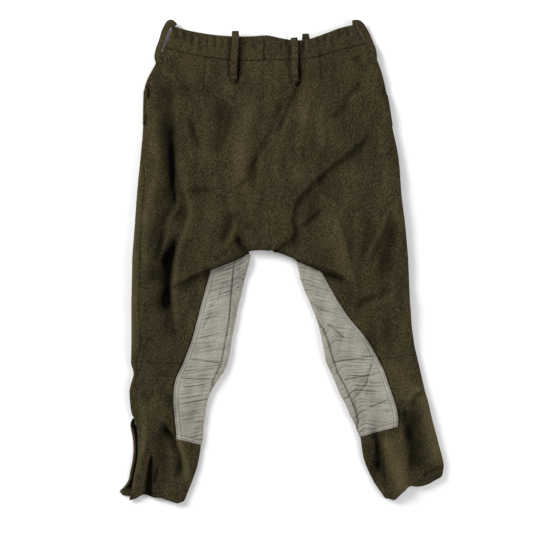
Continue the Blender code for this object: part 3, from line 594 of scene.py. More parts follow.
def patch_q(side, v):
    """Where the strapping ends on the back, or would if it ran on."""
    return q_from_inner_edge(side, v, rows_at(side, v)["patch"])


def front_side_q(side, v):
    """Where the front ends at its outer edge: the side seam, or the underside where the side is slit."""
    return side_q(side, v) + smoothstep(rows_at(side, v)["open"]) * (SLIT_Q - side_q(side, v))


def front_end_q(side, v):
    """Where the front ends at its inner edge, which it reaches from the underside."""
    return np.where(v > row_number(side, "crotch"), 4.0 + inseam_q(side, v), 3.0 + centre_turn(side, v))


def stations(length, count, at_start, at_end):
    """Places along a length: count even steps, and closer ones beside an end that is a piece's edge."""
    head, tail = (EDGE_STEPS if edge else (0.0,) for edge in (at_start, at_end))
    middle = np.linspace(head[-1], length - tail[-1], count + 1)
    return np.concatenate([head[:-1], middle, length - np.array(tail[-2::-1])])


def row_positions(side, step):
    """Row positions down the half, about a step apart, with every row of the table among them."""
    names = list(ROWS[side])
    rows = np.array(list(ROWS[side].values()), float)
    found = []
    for i, (start, end) in enumerate(zip(names[:-1], names[1:])):
        length = max(math.dist(rows[i, :2], rows[i + 1, :2]), math.dist(rows[i, 2:4], rows[i + 1, 2:4]))
        count = max(1, round(length / step))
        found.append(i + stations(length, count, start in EDGE_ROWS, end in EDGE_ROWS)[:-1] / length)
    return np.concatenate([*found, [len(rows) - 1.0]])


def spread(side, v, q_from, q_to, count, at_start, at_end):
    """q at places an equal length apart along each row's section, and closer beside a piece's edge."""
    dense = q_from[:, None] + (q_to - q_from)[:, None] * np.linspace(0, 1, DENSE)
    points = skin(side, dense, np.repeat(v[:, None], DENSE, axis=1))[0]
    run = border_distances(points)[2]
    return np.array([np.interp(stations(r[-1], count, at_start, at_end), r, d) for r, d in zip(run, dense)])


def with_normals(side, q, v):
    """The skin on a grid: its points, outward normals and shade."""
    points, shade = skin(side, q, np.broadcast_to(v[:, None], q.shape))
    along_q, along_v = np.gradient(points, axis=1), np.gradient(points, axis=0)
    normals = np.cross(along_q, along_v) if side == "left" else np.cross(along_v, along_q)
    return points, normals / np.linalg.norm(normals, axis=2, keepdims=True), shade


@cache
def back_grid(side, step):
    """The whole back of a half: its row positions, points, normals and shade, from the inner edge out."""
    v = row_positions(side, step)
    inner = spread(side, v, inseam_q(side, v), patch_q(side, v), round(PATCH_RUN / step), True, False)
    outer = spread(side, v, patch_q(side, v), side_q(side, v), round(BACK_RUN / step), False, True)
    return v, *with_normals(side, np.hstack([inner, outer[:, 1:]]), v)


@cache
def front_grid(side, step):
    """The whole front of a half, as back_grid gives the back."""
    v = row_positions(side, step)
    edge = 3.0 - patch_q(side, v)
    outer = spread(side, v, front_side_q(side, v), edge, round(FRONT_RUN / step), True, False)
    inner = spread(side, v, edge, front_end_q(side, v), round(PATCH_RUN / step), False, True)
    grid = with_normals(side, np.hstack([outer, inner[:, 1:]]), v)
    return v, *(values[:, ::-1] for values in grid)


def rows_between(side, v, first, last):
    """The grid's rows from one named row to another."""
    start, end = row_number(side, first), row_number(side, last)
    return np.flatnonzero((v >= start - 1e-6) & (v <= end + 1e-6))


def border_distances(points):
    """How far each point of a grid is along it from the first row, last row, first and last column."""
    down = np.pad(np.cumsum(np.linalg.norm(np.diff(points, axis=0), axis=2), axis=0), [(1, 0), (0, 0)])
    right = np.pad(np.cumsum(np.linalg.norm(np.diff(points, axis=1), axis=2), axis=1), [(0, 0), (1, 0)])
    return [down, down[-1:] - down, right, right[:, -1:] - right]


def pulled_in(points, amount):
    """The grid with each border row and column moved inwards."""
    moved = points.copy()
    for edge, inside in ((0, 1), (-1, -2)):
        for line, next_line in ((moved[edge], moved[inside]), (moved[:, edge], moved[:, inside])):
            step = next_line - line
            line += amount * step / np.linalg.norm(step, axis=1, keepdims=True)
    return moved


def mesh_object(name, points, faces, uv, shade, material):
    """A mesh from whole arrays: points, faces of one size, and at each point a UV place and a shade."""
    mesh = bpy.data.meshes.new(name)
    mesh.vertices.add(len(points))
    mesh.vertices.foreach_set("co", (points * METRES).astype(np.float32).ravel())
    mesh.loops.add(faces.size)
    mesh.loops.foreach_set("vertex_index", faces.astype(np.int32).ravel())
    mesh.polygons.add(len(faces))
    mesh.polygons.foreach_set("loop_start", np.arange(0, faces.size, faces.shape[1], dtype=np.int32))
    layer = mesh.uv_layers.new(name="cloth")
    layer.data.foreach_set("uv", (uv[faces.ravel()] * METRES).astype(np.float32).ravel())
    attribute = mesh.attributes.new("shade", "FLOAT", "POINT")
    attribute.data.foreach_set("value", shade.astype(np.float32))
    mesh.update(calc_edges=True)
    mesh.validate()
    mesh.materials.append(material)
    mesh.shade_smooth()
    made = bpy.data.objects.new(name, mesh)
    bpy.context.scene.collection.objects.link(made)
    return made


def wall_object(name, outer, inner, shade, material, outwards):
    """A closed wall between two grids of points of the same shape."""
    rows, columns = outer.shape[:2]
    index = np.arange(rows * columns).reshape(rows, columns)
    quads = np.stack([index[:-1, :-1], index[:-1, 1:], index[1:, 1:], index[1:, :-1]], axis=-1).reshape(-1, 4)
    rim = np.concatenate([index[0], index[1:, -1], index[-1, -2::-1], index[-2:0:-1, 0]])
    rim_next, below = np.roll(rim, -1), rows * columns
    sides = np.stack([rim, rim + below, rim_next + below, rim_next], axis=-1)
    faces = np.concatenate([quads, quads[:, ::-1] + below, sides])
    if not outwards:
        faces = faces[:, ::-1]
    from_top, _, from_first, _ = border_distances(outer)
    uv = np.stack([from_first, -from_top], axis=-1).reshape(-1, 2)
    points = np.concatenate([outer.reshape(-1, 3), inner.reshape(-1, 3)])
    return mesh_object(name, points, faces, np.tile(uv, (2, 1)), np.tile(shade.ravel(), 2), material)


def winds_outwards(points, normals):
    """Whether the grid's own winding faces along its normals."""
    turn = np.cross(points[0, 1] - points[0, 0], points[1, 0] - points[0, 0])
    return float(np.dot(turn, normals[0, 0])) >= 0


def fitted(piece, cad_node):
    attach(piece, "root")
    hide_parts(cad_node)


def cut_piece(name, grid, wall, raised=0.0, borders=(1, 1, 1, 1), material=None, slot="wool", lift=None,
              rests_on=(), with_pieces=()):
    """One cut piece: a grid's points, normals and shade with a wall turned inwards. Its edges are rounded
    off, and borders says how much shade is painted at its first row, last row, first column and last
    column, where a negative value paints a highlight."""
    points, normals, shade = grid
    points = pulled_in(points, EDGE_GAP)
    distances = border_distances(points)
    if lift is not None:
        height, dark = lift(points, distances)
        points, shade = points + normals * height[..., None], shade + dark
    drop = sum(0.35 * wall * bell(distance, 1.3) for distance in distances)
    drop = np.minimum(drop, 0.6 * wall)[..., None]
    # Painted shade along the seams at the borders, and a painted highlight where a border's value is
    # negative.
    shade = shade + sum(0.55 * dark * bell(distance, 1.2) for dark, distance in zip(borders, distances))
    piece = wall_object(
        name, points + normals * (raised - drop), points + normals * (raised - wall), shade,
        material or wool_material(), winds_outwards(points, normals),
    )
    fitted(piece, name)


def grid_of(face, side):
    """The grid of a half's back or front at the mesh step in the settings."""
    return back_grid(side, size("step")) if face == "back" else front_grid(side, size("front_step"))


def panel(kind, face, side, first, last, wall, near=None, **looks):
    """A cut piece of a half's back or front between two named rows: its whole width, or only the columns
    that near picks from their mean distances to the last column."""
    v, *grid = grid_of(face, side)
    rows = rows_between(side, v, first, last)
    columns = np.arange(grid[0].shape[1])
    if near is not None:
        columns = np.flatnonzero(near(border_distances(grid[0])[3][rows].mean(axis=0)))
    cut_piece(f"{kind}_{side}", [values[np.ix_(rows, columns)] for values in grid], wall, **looks)


def line_beside(points, normals, border, distance):
    """The line on a grid at a distance from one border, with its normals: each crossing row or column is
    read at that length along it."""
    if border == "last row":
        points, normals = points.transpose(1, 0, 2), normals.transpose(1, 0, 2)
    if border in ("last row", "last column"):
        points, normals = points[:, ::-1], normals[:, ::-1]
    run = border_distances(points)[2]
    return [
        np.array([[np.interp(distance, r, row[:, k]) for k in range(3)] for r, row in zip(run, values)])
        for values in (points, normals)
    ]


def stitch_points(line, normals, pitch, length, width, height, above):
    """The points of one row of stitches: at even places along a line, six corners of a small spindle that
    lies along it."""
    run = run_along(line)

    def read(values, at):
        return np.column_stack([np.interp(at, run, values[:, k]) for k in range(3)])

    middles = np.arange(pitch / 2, run[-1], pitch)
    up = read(normals, middles)
    up /= np.linalg.norm(up, axis=1, keepdims=True)
    start, end = read(line, middles - length / 2), read(line, middles + length / 2)
    middle = (start + end) / 2
    beside = np.cross(up, end - start)
    beside *= width / 2 / np.maximum(np.linalg.norm(beside, axis=1, keepdims=True), 1e-9)
    corners = [start, end, middle - beside, middle + beside, middle + up * height, middle - up * height]
    return np.stack(corners, axis=1) + up[:, None] * above


# The faces of a stitch: its two ends are corners 0 and 1, its sides 2 and 3, its top 4 and its bottom 5.
SPINDLE = np.array([
    (0, 2, 4), (2, 1, 4), (1, 3, 4), (3, 0, 4), (2, 0, 5), (1, 2, 5), (3, 1, 5), (0, 3, 5),
])


def stitch_object(name, rows, material):
    """All the stitches of a seam or a group of seams as one object."""
    points = np.concatenate(rows)
    faces = (SPINDLE[None] + 6 * np.arange(len(points))[:, None, None]).reshape(-1, 3)
    flat = points.reshape(-1, 3)
    made = mesh_object(name, flat, faces, flat[:, :2], np.zeros(len(flat)), material)
    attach(made, "root")
    return made


def size(name):
    """A length of the settings, in millimetres."""
    return getattr(bpy.context.scene.breeches_sizes, name) / METRES


def colour(name, factor=1.0):
    """A colour of the settings, opaque, darkened or lightened by a factor."""
    return (*(factor * part for part in getattr(bpy.context.scene.breeches_colours, name)), 1.0)


def feed(tree, made, inputs):
    """Sets a node's inputs to values, or links them to sockets. A key such as i3 counts inputs from 0."""
    for key, value in inputs.items():
        socket = made.inputs[int(key[1:])] if key[0] == "i" and key[1:].isdigit() else made.inputs[key]
        if isinstance(value, bpy.types.NodeSocket):
            tree.links.new(value, socket)
        else:
            socket.default_value = value


def node(tree, kind, values=(), **inputs):
    """A shader node with its properties set and its inputs fed."""
    made = tree.nodes.new("ShaderNode" + kind)
    for key, value in dict(values).items():
        setattr(made, key, value)
    feed(tree, made, inputs)
    return made


def noise(tree, vector, scale, detail, roughness):
    """Noise at a place."""
    return node(tree, "TexNoise", Vector=vector, Scale=scale, Detail=detail, Roughness=roughness).outputs[0]


def mapped(tree, value, low, high, top=1.0):
    """A value between low and high brought to between 0 and top."""
    return node(tree, "MapRange", i0=value, i1=low, i2=high, i3=0.0, i4=top).outputs[0]


def mixed(tree, factor, first, second, blend="MIX"):
    """One colour over another by a factor."""
    values = {"data_type": "RGBA", "blend_type": blend}
    return node(tree, "Mix", values, i0=factor, i6=first, i7=second).outputs[2]


def new_group(name, inputs, outputs):
    """A new shader node group with its sockets, and the nodes for what goes in and comes out."""
    group = bpy.data.node_groups.new(name, "ShaderNodeTree")
    for label, kind, *default in inputs:
        socket = group.interface.new_socket(label, in_out="INPUT", socket_type="NodeSocket" + kind)
        if default:
            socket.default_value = default[0]
    for label, kind in outputs:
        group.interface.new_socket(label, in_out="OUTPUT", socket_type="NodeSocket" + kind)
    return group, group.nodes.new("NodeGroupInput").outputs, group.nodes.new("NodeGroupOutput")


def nap_group():
    """Speckle and relief of a napped cloth: tone is light and dark flecks about 0.5, and normal is bumped."""
    if "Nap" in bpy.data.node_groups:
        return bpy.data.node_groups["Nap"]
    tree, start, end = new_group(
        "Nap",
        (("Vector", "Vector"), ("Fleck", "Float", 420.0), ("Fibre", "Float", 1100.0),
         ("Relief", "Float", 0.5)),
        (("Tone", "Float"), ("Normal", "Vector")),
    )
    fleck = noise(tree, start["Vector"], start["Fleck"], 4.0, 0.7)
    fibre = noise(tree, start["Vector"], start["Fibre"], 3.0, 0.7)
    both = node(tree, "Mix", {"data_type": "FLOAT"}, i0=0.3, i2=fleck, i3=fibre).outputs[0]
    bump = node(tree, "Bump", Strength=start["Relief"], Distance=0.0012, Height=both)
    feed(tree, end, {"Tone": both, "Normal": bump.outputs["Normal"]})
    return tree


def creased_group():
    """Painted shade and highlights on a cloth colour: towards the dark colour where shade is above 0, towards
    the pale below.
    """
    if "Creased" in bpy.data.node_groups:
        return bpy.data.node_groups["Creased"]
    tree, start, end = new_group(
        "Creased",
        (("Colour", "Color"), ("Dark", "Color"), ("Pale", "Color"), ("Shade", "Float", 0.0)),
        (("Colour", "Color"),),
    )
    darker = mixed(tree, mapped(tree, start["Shade"], 0.0, 1.0), start["Colour"], start["Dark"])
    paler = mixed(tree, mapped(tree, start["Shade"], 0.0, -1.0), darker, start["Pale"])
    feed(tree, end, {"Colour": paler})
    return tree


def rib_group():
    """Fine ribs along a woven cloth: tone runs from 0 in a furrow to 1 on a rib, and normal is bumped."""
    if "Ribs" in bpy.data.node_groups:
        return bpy.data.node_groups["Ribs"]
    tree, start, end = new_group(
        "Ribs",
        (("Vector", "Vector"), ("Pitch", "Float", 0.0014), ("Relief", "Float", 0.5)),
        (("Tone", "Float"), ("Normal", "Vector")),
    )
    place = node(tree, "SeparateXYZ", Vector=start["Vector"])
    turns = node(tree, "Math", {"operation": "DIVIDE"}, i0=place.outputs[0], i1=start["Pitch"])
    angle = node(tree, "Math", {"operation": "MULTIPLY"}, i0=turns.outputs[0], i1=2 * math.pi)
    wave = node(tree, "Math", {"operation": "SINE"}, i0=angle.outputs[0])
    rib = mapped(tree, wave.outputs[0], -1.0, 1.0)
    bump = node(tree, "Bump", Strength=start["Relief"], Distance=0.0003, Height=rib)
    feed(tree, end, {"Tone": rib, "Normal": bump.outputs["Normal"]})
    return tree


def new_material(name, **inputs):
    """A material, its node tree and its Principled shader with inputs set."""
    made = bpy.data.materials.new(name)
    made.use_nodes = True
    shader = made.node_tree.nodes["Principled BSDF"]
    feed(made.node_tree, shader, inputs)
    return made, made.node_tree, shader


def wool_material(kind="wool"):
    """Napped wool: two close colours flecked together, browner in broad patches, with painted shade near
    black in the folds and painted highlights on ridges and edges.
    """
    name = "napped " + kind
    if name in bpy.data.materials:
        return bpy.data.materials[name]
    made, tree, shader = new_material(name, Roughness=0.95)
    place = node(tree, "TexCoord").outputs["Object"]
    combed = node(tree, "VectorMath", {"operation": "MULTIPLY"}, i0=place, i1=(1.0, 0.65, 1.0))
    nap = node(tree, "Group", {"node_tree": nap_group()}, Vector=combed.outputs[0], Fleck=430.0,
               Fibre=1100.0, Relief=1.0)
    contrast = mapped(tree, nap.outputs["Tone"], 0.43, 0.64)
    flecked = mixed(tree, contrast, colour(kind, 0.42), colour(kind, 2.4))
    broad = mapped(tree, noise(tree, place, 16.0, 3.0, 0.5), 0.38, 0.62)
    tint = mixed(tree, broad, (0.98, 1.0, 1.0, 1.0), (1.01, 0.97, 0.93, 1.0))
    tinted = mixed(tree, 1.0, flecked, tint, "MULTIPLY")
    # The pale colour of painted highlights; painted shade comes from the shade attribute, towards the
    # near-black fold colour.
    painted_highlight = mixed(tree, 1.0, tinted, colour(kind, 1.1), "ADD")
    shade = node(tree, "Attribute", {"attribute_name": "shade"})
    creased = node(tree, "Group", {"node_tree": creased_group()}, Colour=tinted, Dark=colour("painted_fold_shade"),
                   Pale=painted_highlight, Shade=shade.outputs["Fac"])
    feed(tree, shader, {
        "Base Color": creased.outputs["Colour"], "Normal": nap.outputs["Normal"], "Specular IOR Level": 0.04,
        "Sheen Weight": 0.02, "Sheen Roughness": 0.55, "Sheen Tint": (0.62, 0.58, 0.45, 1.0),
    })
    return made


def strapping_material():
    """Ribbed pale cotton: fine ribs along the leg, soft uneven soiling, painted shade in its wrinkles and
    painted highlights on its swells.
    """
    if "ribbed cotton" in bpy.data.materials:
        return bpy.data.materials["ribbed cotton"]
    made, tree, shader = new_material("ribbed cotton", Roughness=0.85)
    place = node(tree, "TexCoord").outputs
    ribs = node(tree, "Group", {"node_tree": rib_group()}, Vector=place["UV"], Pitch=0.0016, Relief=0.6)
    nap = node(tree, "Group", {"node_tree": nap_group()}, Vector=place["Object"], Fleck=380.0,
               Fibre=1000.0, Relief=0.2)
    contrast = mapped(tree, nap.outputs["Tone"], 0.34, 0.66)
    flecked = mixed(tree, contrast, colour("strapping", 0.68), colour("strapping", 1.3))
    soiled = mapped(tree, noise(tree, place["Object"], 28.0, 4.0, 0.6), 0.45, 0.75, 0.3)
    dirty = mixed(tree, soiled, flecked, (0.8, 0.76, 0.68, 1.0), "MULTIPLY")
    shade = node(tree, "Attribute", {"attribute_name": "shade"})
    creased = node(tree, "Group", {"node_tree": creased_group()}, Colour=dirty,
                   Dark=colour("strapping", 0.25), Pale=colour("strapping", 1.35),
                   Shade=shade.outputs["Fac"])
    feed(tree, shader, {
        "Base Color": creased.outputs["Colour"], "Normal": ribs.outputs["Normal"], "Specular IOR Level": 0.2,
    })
    return made


def thread_material(kind):
    """Plain thread in one of the settings' colours."""
    if kind in bpy.data.materials:
        return bpy.data.materials[kind]
    return new_material(kind, Roughness=0.7, **{"Base Color": colour(kind)})[0]


def strip_centre(line, count):
    """Points an equal length apart on the smooth curve through a few points."""
    points = np.array(line, float)
    run = run_along(points)
    slopes = np.gradient(points, run, axis=0)
    at = np.linspace(0, run[-1], count + 1)
    index = np.clip(np.searchsorted(run, at, side="right") - 1, 0, len(points) - 2)
    length = (run[index + 1] - run[index])[:, None]
    leaving, arriving = slopes[index] * length, slopes[index + 1] * length
    t = (at - run[index])[:, None] / length
    return cubic_between(points[index], points[index + 1], leaving, arriving, t)


def top_height(side, x, y):
    """The height of the top at places in the plan: that of the nearest of many points of the skin."""
    v, q = np.meshgrid(np.linspace(0, row_number(side, "hip"), 240), np.linspace(0, 1, 260), indexing="ij")
    points = skin(side, q, v)[0].reshape(-1, 3) + MIDDLE
    gap = np.hypot(points[:, 0] - x[:, None], points[:, 1] - y[:, None])
    return points[gap.argmin(axis=1), 2]


def loop_strip(name, centre, tilt):
    """A belt loop: a strip with rounded edges along a line of points, tilted about it in the middle."""
    width, wall = size("loop_width"), size("loop_wall")
    centre = centre - MIDDLE
    along = np.gradient(centre, axis=0)
    beside = np.stack([along[:, 1], -along[:, 0], np.zeros(len(centre))], axis=-1)
    beside /= np.linalg.norm(beside, axis=1, keepdims=True)
    turn = math.radians(tilt) * np.sin(math.pi * np.linspace(0, 1, len(centre)))[:, None]
    beside = beside * np.cos(turn) + np.array([0, 0, 1]) * np.sin(turn)
    out = np.cross(beside, along)
    out /= np.linalg.norm(out, axis=1, keepdims=True)
    out *= np.where(out[:, 2:] < 0, -1, 1)
    t = np.linspace(-1, 1, LOOP_COLUMNS + 1)
    t = np.sign(t) * np.abs(t) ** 0.7
    run = run_along(centre)
    to_end = np.clip(np.minimum(run, run[-1] - run) / LOOP_CORNER, 0, 1)
    rounded = 0.88 + 0.12 * np.sqrt(1 - (1 - to_end) ** 2)
    grid = centre[:, None] + beside[:, None] * (rounded[:, None] * t * width / 2)[..., None]
    from_sewing = np.abs(t) - LOOP_SEWING
    crown = wall * (1 - 0.45 * np.abs(t) ** 6) - 0.15 * bell(from_sewing, 0.1)
    outer = grid + out[:, None] * crown[:, None]
    inner = grid + out[:, None] * (0.3 * wall * np.abs(t) ** 6)[:, None]
    # Painted shade along the stitched grooves, and the loop a little paler all over.
    shade = np.broadcast_to(0.3 * bell(from_sewing, 0.12) - 0.12, outer.shape[:2])
    piece = wall_object(name, outer, inner, shade, wool_material("band"), True)
    fitted(piece, name)


def length_property(name, description, default):
    """A length in metres that a user may halve or double."""
    return FloatProperty(
        name=name, description=description, default=default, min=default / 2, max=default * 2,
        unit="LENGTH", subtype="DISTANCE", precision=4,
    )


def colour_property(name, description, default):
    """A colour that a user may change."""
    return FloatVectorProperty(
        name=name, description=description, default=default, min=0, max=1, size=3, subtype="COLOR",
    )


class BreechesSizes(bpy.types.PropertyGroup):
    """Sizes of the cloth and of its sewing."""

    wall: length_property("Wool", "Thickness of the wool cloth", 0.0018)
    band_wall: length_property("Waistband", "Thickness of the lined waistband", 0.0026)
    strap_wall: length_property("Strapping", "Thickness of the inner-leg strapping", 0.0011)
    welt_wall: length_property("Pocket welt", "Thickness of the pocket welts", 0.0012)
    band_raise: length_property("Band lift", "How far the waistband stands above the cloth", 0.0005)
    loop_width: length_property("Loop width", "Width of a belt loop", 0.014)
    loop_wall: length_property("Loop thickness", "Thickness of a belt loop", 0.0015)
    loop_rise: length_property("Loop rise", "How far a back loop stands off the waistband", 0.0078)
    step: length_property("Mesh step", "Distance between mesh points on the backs", 0.0025)
    front_step: length_property("Hidden mesh step", "Distance between mesh points on the fronts", 0.0042)
    strap_step: length_property("Strapping mesh step", "Distance between its mesh points", 0.0012)
    stitch_pitch: length_property("Stitch pitch", "Distance from one stitch to the next", 0.0031)


class BreechesColours(bpy.types.PropertyGroup):
    """Colours of the cloths and threads."""

    wool: colour_property("Wool", "Olive drab wool of the body", (0.0325, 0.0262, 0.0128))
    band: colour_property("Band wool", "Wool of the waistband, loops and welts", (0.033, 0.0266, 0.0134))
    # The near-black colour of the painted shade at the bottom of the folds.
    painted_fold_shade: colour_property("Hollows", "Wool at the bottom of a fold", (0.0014, 0.0011, 0.0005))
    strapping: colour_property("Strapping", "Pale cotton of the inner-leg strapping", (0.305, 0.287, 0.243))
    thread: colour_property("Strapping thread", "Thread on the strapping", (0.08, 0.07, 0.05))
    # Darker than the wool, so that the hem stitches stay dark inside the pleat's painted shade: the thread's
    # colour is partly painted shade.
    wool_thread: colour_property("Wool thread", "Thread on the wool", (0.012, 0.01, 0.006))


class BREECHES_OT_waistband(bpy.types.Operator):
    """Make the four pieces of the waistband"""

    bl_idname = "breeches.waistband"
    bl_label = "Waistband"

    def execute(self, context):
        for side in ROWS:
            panel("waistband_back", "back", side, "top", "waist", size("band_wall"),
                  raised=size("band_raise"), borders=(-0.6, 1, 1.6, 0.4),
                  material=wool_material("band"), rests_on=["waistband_front_" + side])
            panel("waistband_front", "front", side, "top", "waist", size("band_wall"),
                  borders=(0, 1, 1, 0.4), material=wool_material("band"), rests_on=["floor"])
        return {"FINISHED"}


class BREECHES_OT_backs(bpy.types.Operator):
    """Make the seat and thigh panels of the back"""

    bl_idname = "breeches.backs"
    bl_label = "Backs"

    def execute(self, context):
        for side in ROWS:
            panel("back", "back", side, "waist", "knee", size("wall"), borders=(1, 0.45, -0.4, 0.85),
                  rests_on=["front_" + side])
        return {"FINISHED"}


class BREECHES_OT_calves(bpy.types.Operator):
    """Make the calf panels of the back, from the knee seams to the hems"""

    bl_idname = "breeches.calves"
    bl_label = "Calves"

    def execute(self, context):
        for side in ROWS:
            panel("calf_back", "back", side, "knee", "hem", size("wall"), borders=(0.5, 0, 0.3, 0.5),
                  lift=hem_turn_up, rests_on=["front_" + side])
        return {"FINISHED"}


class BREECHES_OT_fronts(bpy.types.Operator):
    """Make the fronts, which lie underneath from the waist to the hems"""

    bl_idname = "breeches.fronts"
    bl_label = "Fronts"

    def execute(self, context):
        for side in ROWS:
            panel("front", "front", side, "waist", "hem", size("wall"), borders=(1, 0, 0.9, 0.8),
                  rests_on=["floor"])
        return {"FINISHED"}


def hem_turn_up(points, distances):
    """The hem's turned-up edge: how much thicker it is, and the shade along its stitches."""
    to_end = distances[1]
    return 0.5 * smoothstep((HEM_DEPTH + 0.7 - to_end) / 1.4), 0.3 * bell(to_end - HEM_DEPTH - 1, 1)


def strap_wrinkles(points, distances):
    """How far the strapping stands off the leg and the shade painted on it: swells and sharp creases that
    run across the leg, flatter at the stitched edges, with the cross seams and the rows of stitches."""
    from_top, to_end, from_inner, to_outer = distances
    swell = 0.4 * value_noise(from_inner / 5, from_top + 0.1 * from_inner, 7.0, 11)
    swell += 0.25 * value_noise(from_inner / 4, from_top, 3.6, 12)
    swell += 0.5 * value_noise(from_inner, from_top, 24, 15)
    crease = 0
    for spacing, tilt, seed, thin, depth in STRAP_WRINKLES:
        bent = from_top + tilt * from_inner + 5 * value_noise(from_inner / 4, from_top, 19, seed)
        kept = smoothstep(value_noise(from_inner / 4, from_top, 9, seed + 20) * 1.5 + 0.55)
        crease = crease + depth * kept * bell(np.sin(math.pi * bent / spacing), thin)
    held = 0.25 + 0.75 * smoothstep((to_outer - 9) / 6) * smoothstep((to_end - 6) / 8)
    x, y = points[..., 0] + MIDDLE[0], points[..., 1] + MIDDLE[1]
    seam = 1.6 * sum(bell(nearest_on_line(line, x, y)[1], 1.1) for line in STRAP_LINES)
    seam = seam + bell(from_inner, 1.6)
    sewn = sum(bell(distance - row, 0.8) for distance in (to_outer, to_end) for row in STITCH_ROWS)
    dashed = 0.7 + 0.3 * np.sin(2 * math.pi * (from_top + from_inner) / 5.2)
    slanting = sum(dark * bell(nearest_on_line(line, x, y)[1], half) for half, dark, line in STRAP_CREASES)
    pucker = 0.25 * value_noise(from_inner / 4, from_top, 3.2, 17) * bell(to_outer - 6, 4)
    height = held * (1.2 + swell - crease - slanting) + pucker - 0.5 * seam - 0.2 * sewn
    # Painted shade in the creases, the cross seams and dashed along the rows of stitches, and painted
    # highlights on the swells and puckers.
    shade = held * (0.75 * crease - 0.12 * swell + slanting) - 0.5 * pucker + 0.55 * seam
    on_top = smoothstep((points[..., 2] - 2.5) / 4)
    return np.maximum(height, 0) * on_top, shade + 0.85 * sewn * dashed


def strap_stitches(side, points, normals):
    """Two rows of stitches along the back strapping's outer and lower edges, and one beside the inseam."""
    lift = strap_wrinkles(points, border_distances(points))[0][..., None]
    top = points + normals * (lift + size("strap_wall") + SEAM)
    pitch = size("stitch_pitch")
    places = [(border, row) for border in ("last column", "last row") for row in STITCH_ROWS]
    rows = [
        stitch_points(*line_beside(top, normals, border, distance), pitch, 0.72 * pitch, 0.7, 0.22, 0.12)
        for border, distance in (*places, ("first column", STITCH_ROWS[0]))
    ]
    return stitch_object(f"strapping_back_{side}_stitches", rows, thread_material("thread"))


class BREECHES_OT_strapping(bpy.types.Operator):
    """Make the pale inner-leg strapping with its double rows of stitches"""

    bl_idname = "breeches.strapping"
    bl_label = "Strapping"

    def execute(self, context):
        wall, step = size("strap_wall"), size("strap_step")
        looks = {"raised": wall + SEAM, "borders": (0, 0.3, 0.5, 0.3), "material": strapping_material(),
                 "slot": "strapping", "lift": strap_wrinkles}
        for side in ROWS:
            foot, end = row_number(side, "foot") + STRAP_SHY, row_number(side, "patch end")
            v = np.linspace(foot, end - STRAP_SHY, round(STRAP_LENGTH / step))
            v = np.concatenate([v, end - STRAP_SHY + np.array([0.4, 0.75, 1]) * STRAP_SHY])
            over = spread(side, v, inseam_q(side, v), patch_q(side, v), round(STRAP_BACK_RUN / step),
                          True, True)
            back = with_normals(side, over, v)
            stitches = strap_stitches(side, *back[:2])
            cut_piece("strapping_back_" + side, back, wall, rests_on=["back_" + side, "calf_back_" + side],
                      with_pieces=[stitches], **looks)
            v = v[::2]
            under = spread(side, v, 3.0 - patch_q(side, v), front_end_q(side, v),
                           round(STRAP_FRONT_RUN / step), True, True)
            front = [values[:, ::-1] for values in with_normals(side, under, v)]
            cut_piece("strapping_front_" + side, front, wall, rests_on=["floor"], **looks)
        return {"FINISHED"}


class BREECHES_OT_pockets(bpy.types.Operator):
    """Make the welts of the side pockets"""

    bl_idname = "breeches.pockets"
    bl_label = "Pockets"

    def execute(self, context):
        wall = size("welt_wall")
        for side in ROWS:
            panel("pocket_welt", "back", side, "pocket", "hip", wall, lambda run: run <= WELT_REACH,
                  raised=SEAM + wall, borders=(0.6, 0.6, 0.8, 0), material=wool_material("band"),
                  rests_on=["back_" + side])
        return {"FINISHED"}


class BREECHES_OT_fly(bpy.types.Operator):
    """Make the fly's underlap, hidden inside the front"""

    bl_idname = "breeches.fly"
    bl_label = "Fly"

    def execute(self, context):
        wall = size("wall")
        v, *front = grid_of("front", "left")
        rows = rows_between("left", v, "waist", "seat")
        columns = np.flatnonzero(border_distances(front[0])[2][0] <= FLY_REACH)
        cut_piece("fly_underlap", [values[np.ix_(rows, columns)] for values in front], wall, -wall - SEAM,
                  rests_on=["front_left"])
        return {"FINISHED"}


class BREECHES_OT_plackets(bpy.types.Operator):
    """Make the lower-leg plackets: the left one lies open, the right one is closed"""

    bl_idname = "breeches.plackets"
    bl_label = "Plackets"

    def execute(self, context):
        wall = size("wall")
        near, far = PLACKET_REACH
        panel("placket", "front", "right", "patch end", "hem", wall,
              lambda run: (run > near) & (run < far), raised=-wall - SEAM, rests_on=["front_right"])
        edge_x, edge_y, share = strip_centre(PLACKET_EDGE, 60).T[..., None]
        across, height = np.array(PLACKET_ACROSS, float).T
        t = np.concatenate([[0, 0.6, 1.4], np.linspace(2.5, across[-1], 20)])
        x = edge_x + t * np.clip(share, 0.1, 1)
        top = np.stack(np.broadcast_arrays(x, edge_y, np.interp(t, across, height)), axis=-1) - MIDDLE
        # Painted shadow: the open strip is near black past a painted highlight along its free edge, and less
        # dark towards its tip.
        tip = smoothstep((-edge_y - 436) / 14)
        shade = 1.3 * smoothstep((t - 3.4) / 2.2) * (1 - 0.8 * tip) - 1.2 * bell(t, 3)
        piece = wall_object("placket_left", top, top - (0, 0, wall), shade, wool_material(), False)
        fitted(piece, "placket_left")
        return {"FINISHED"}


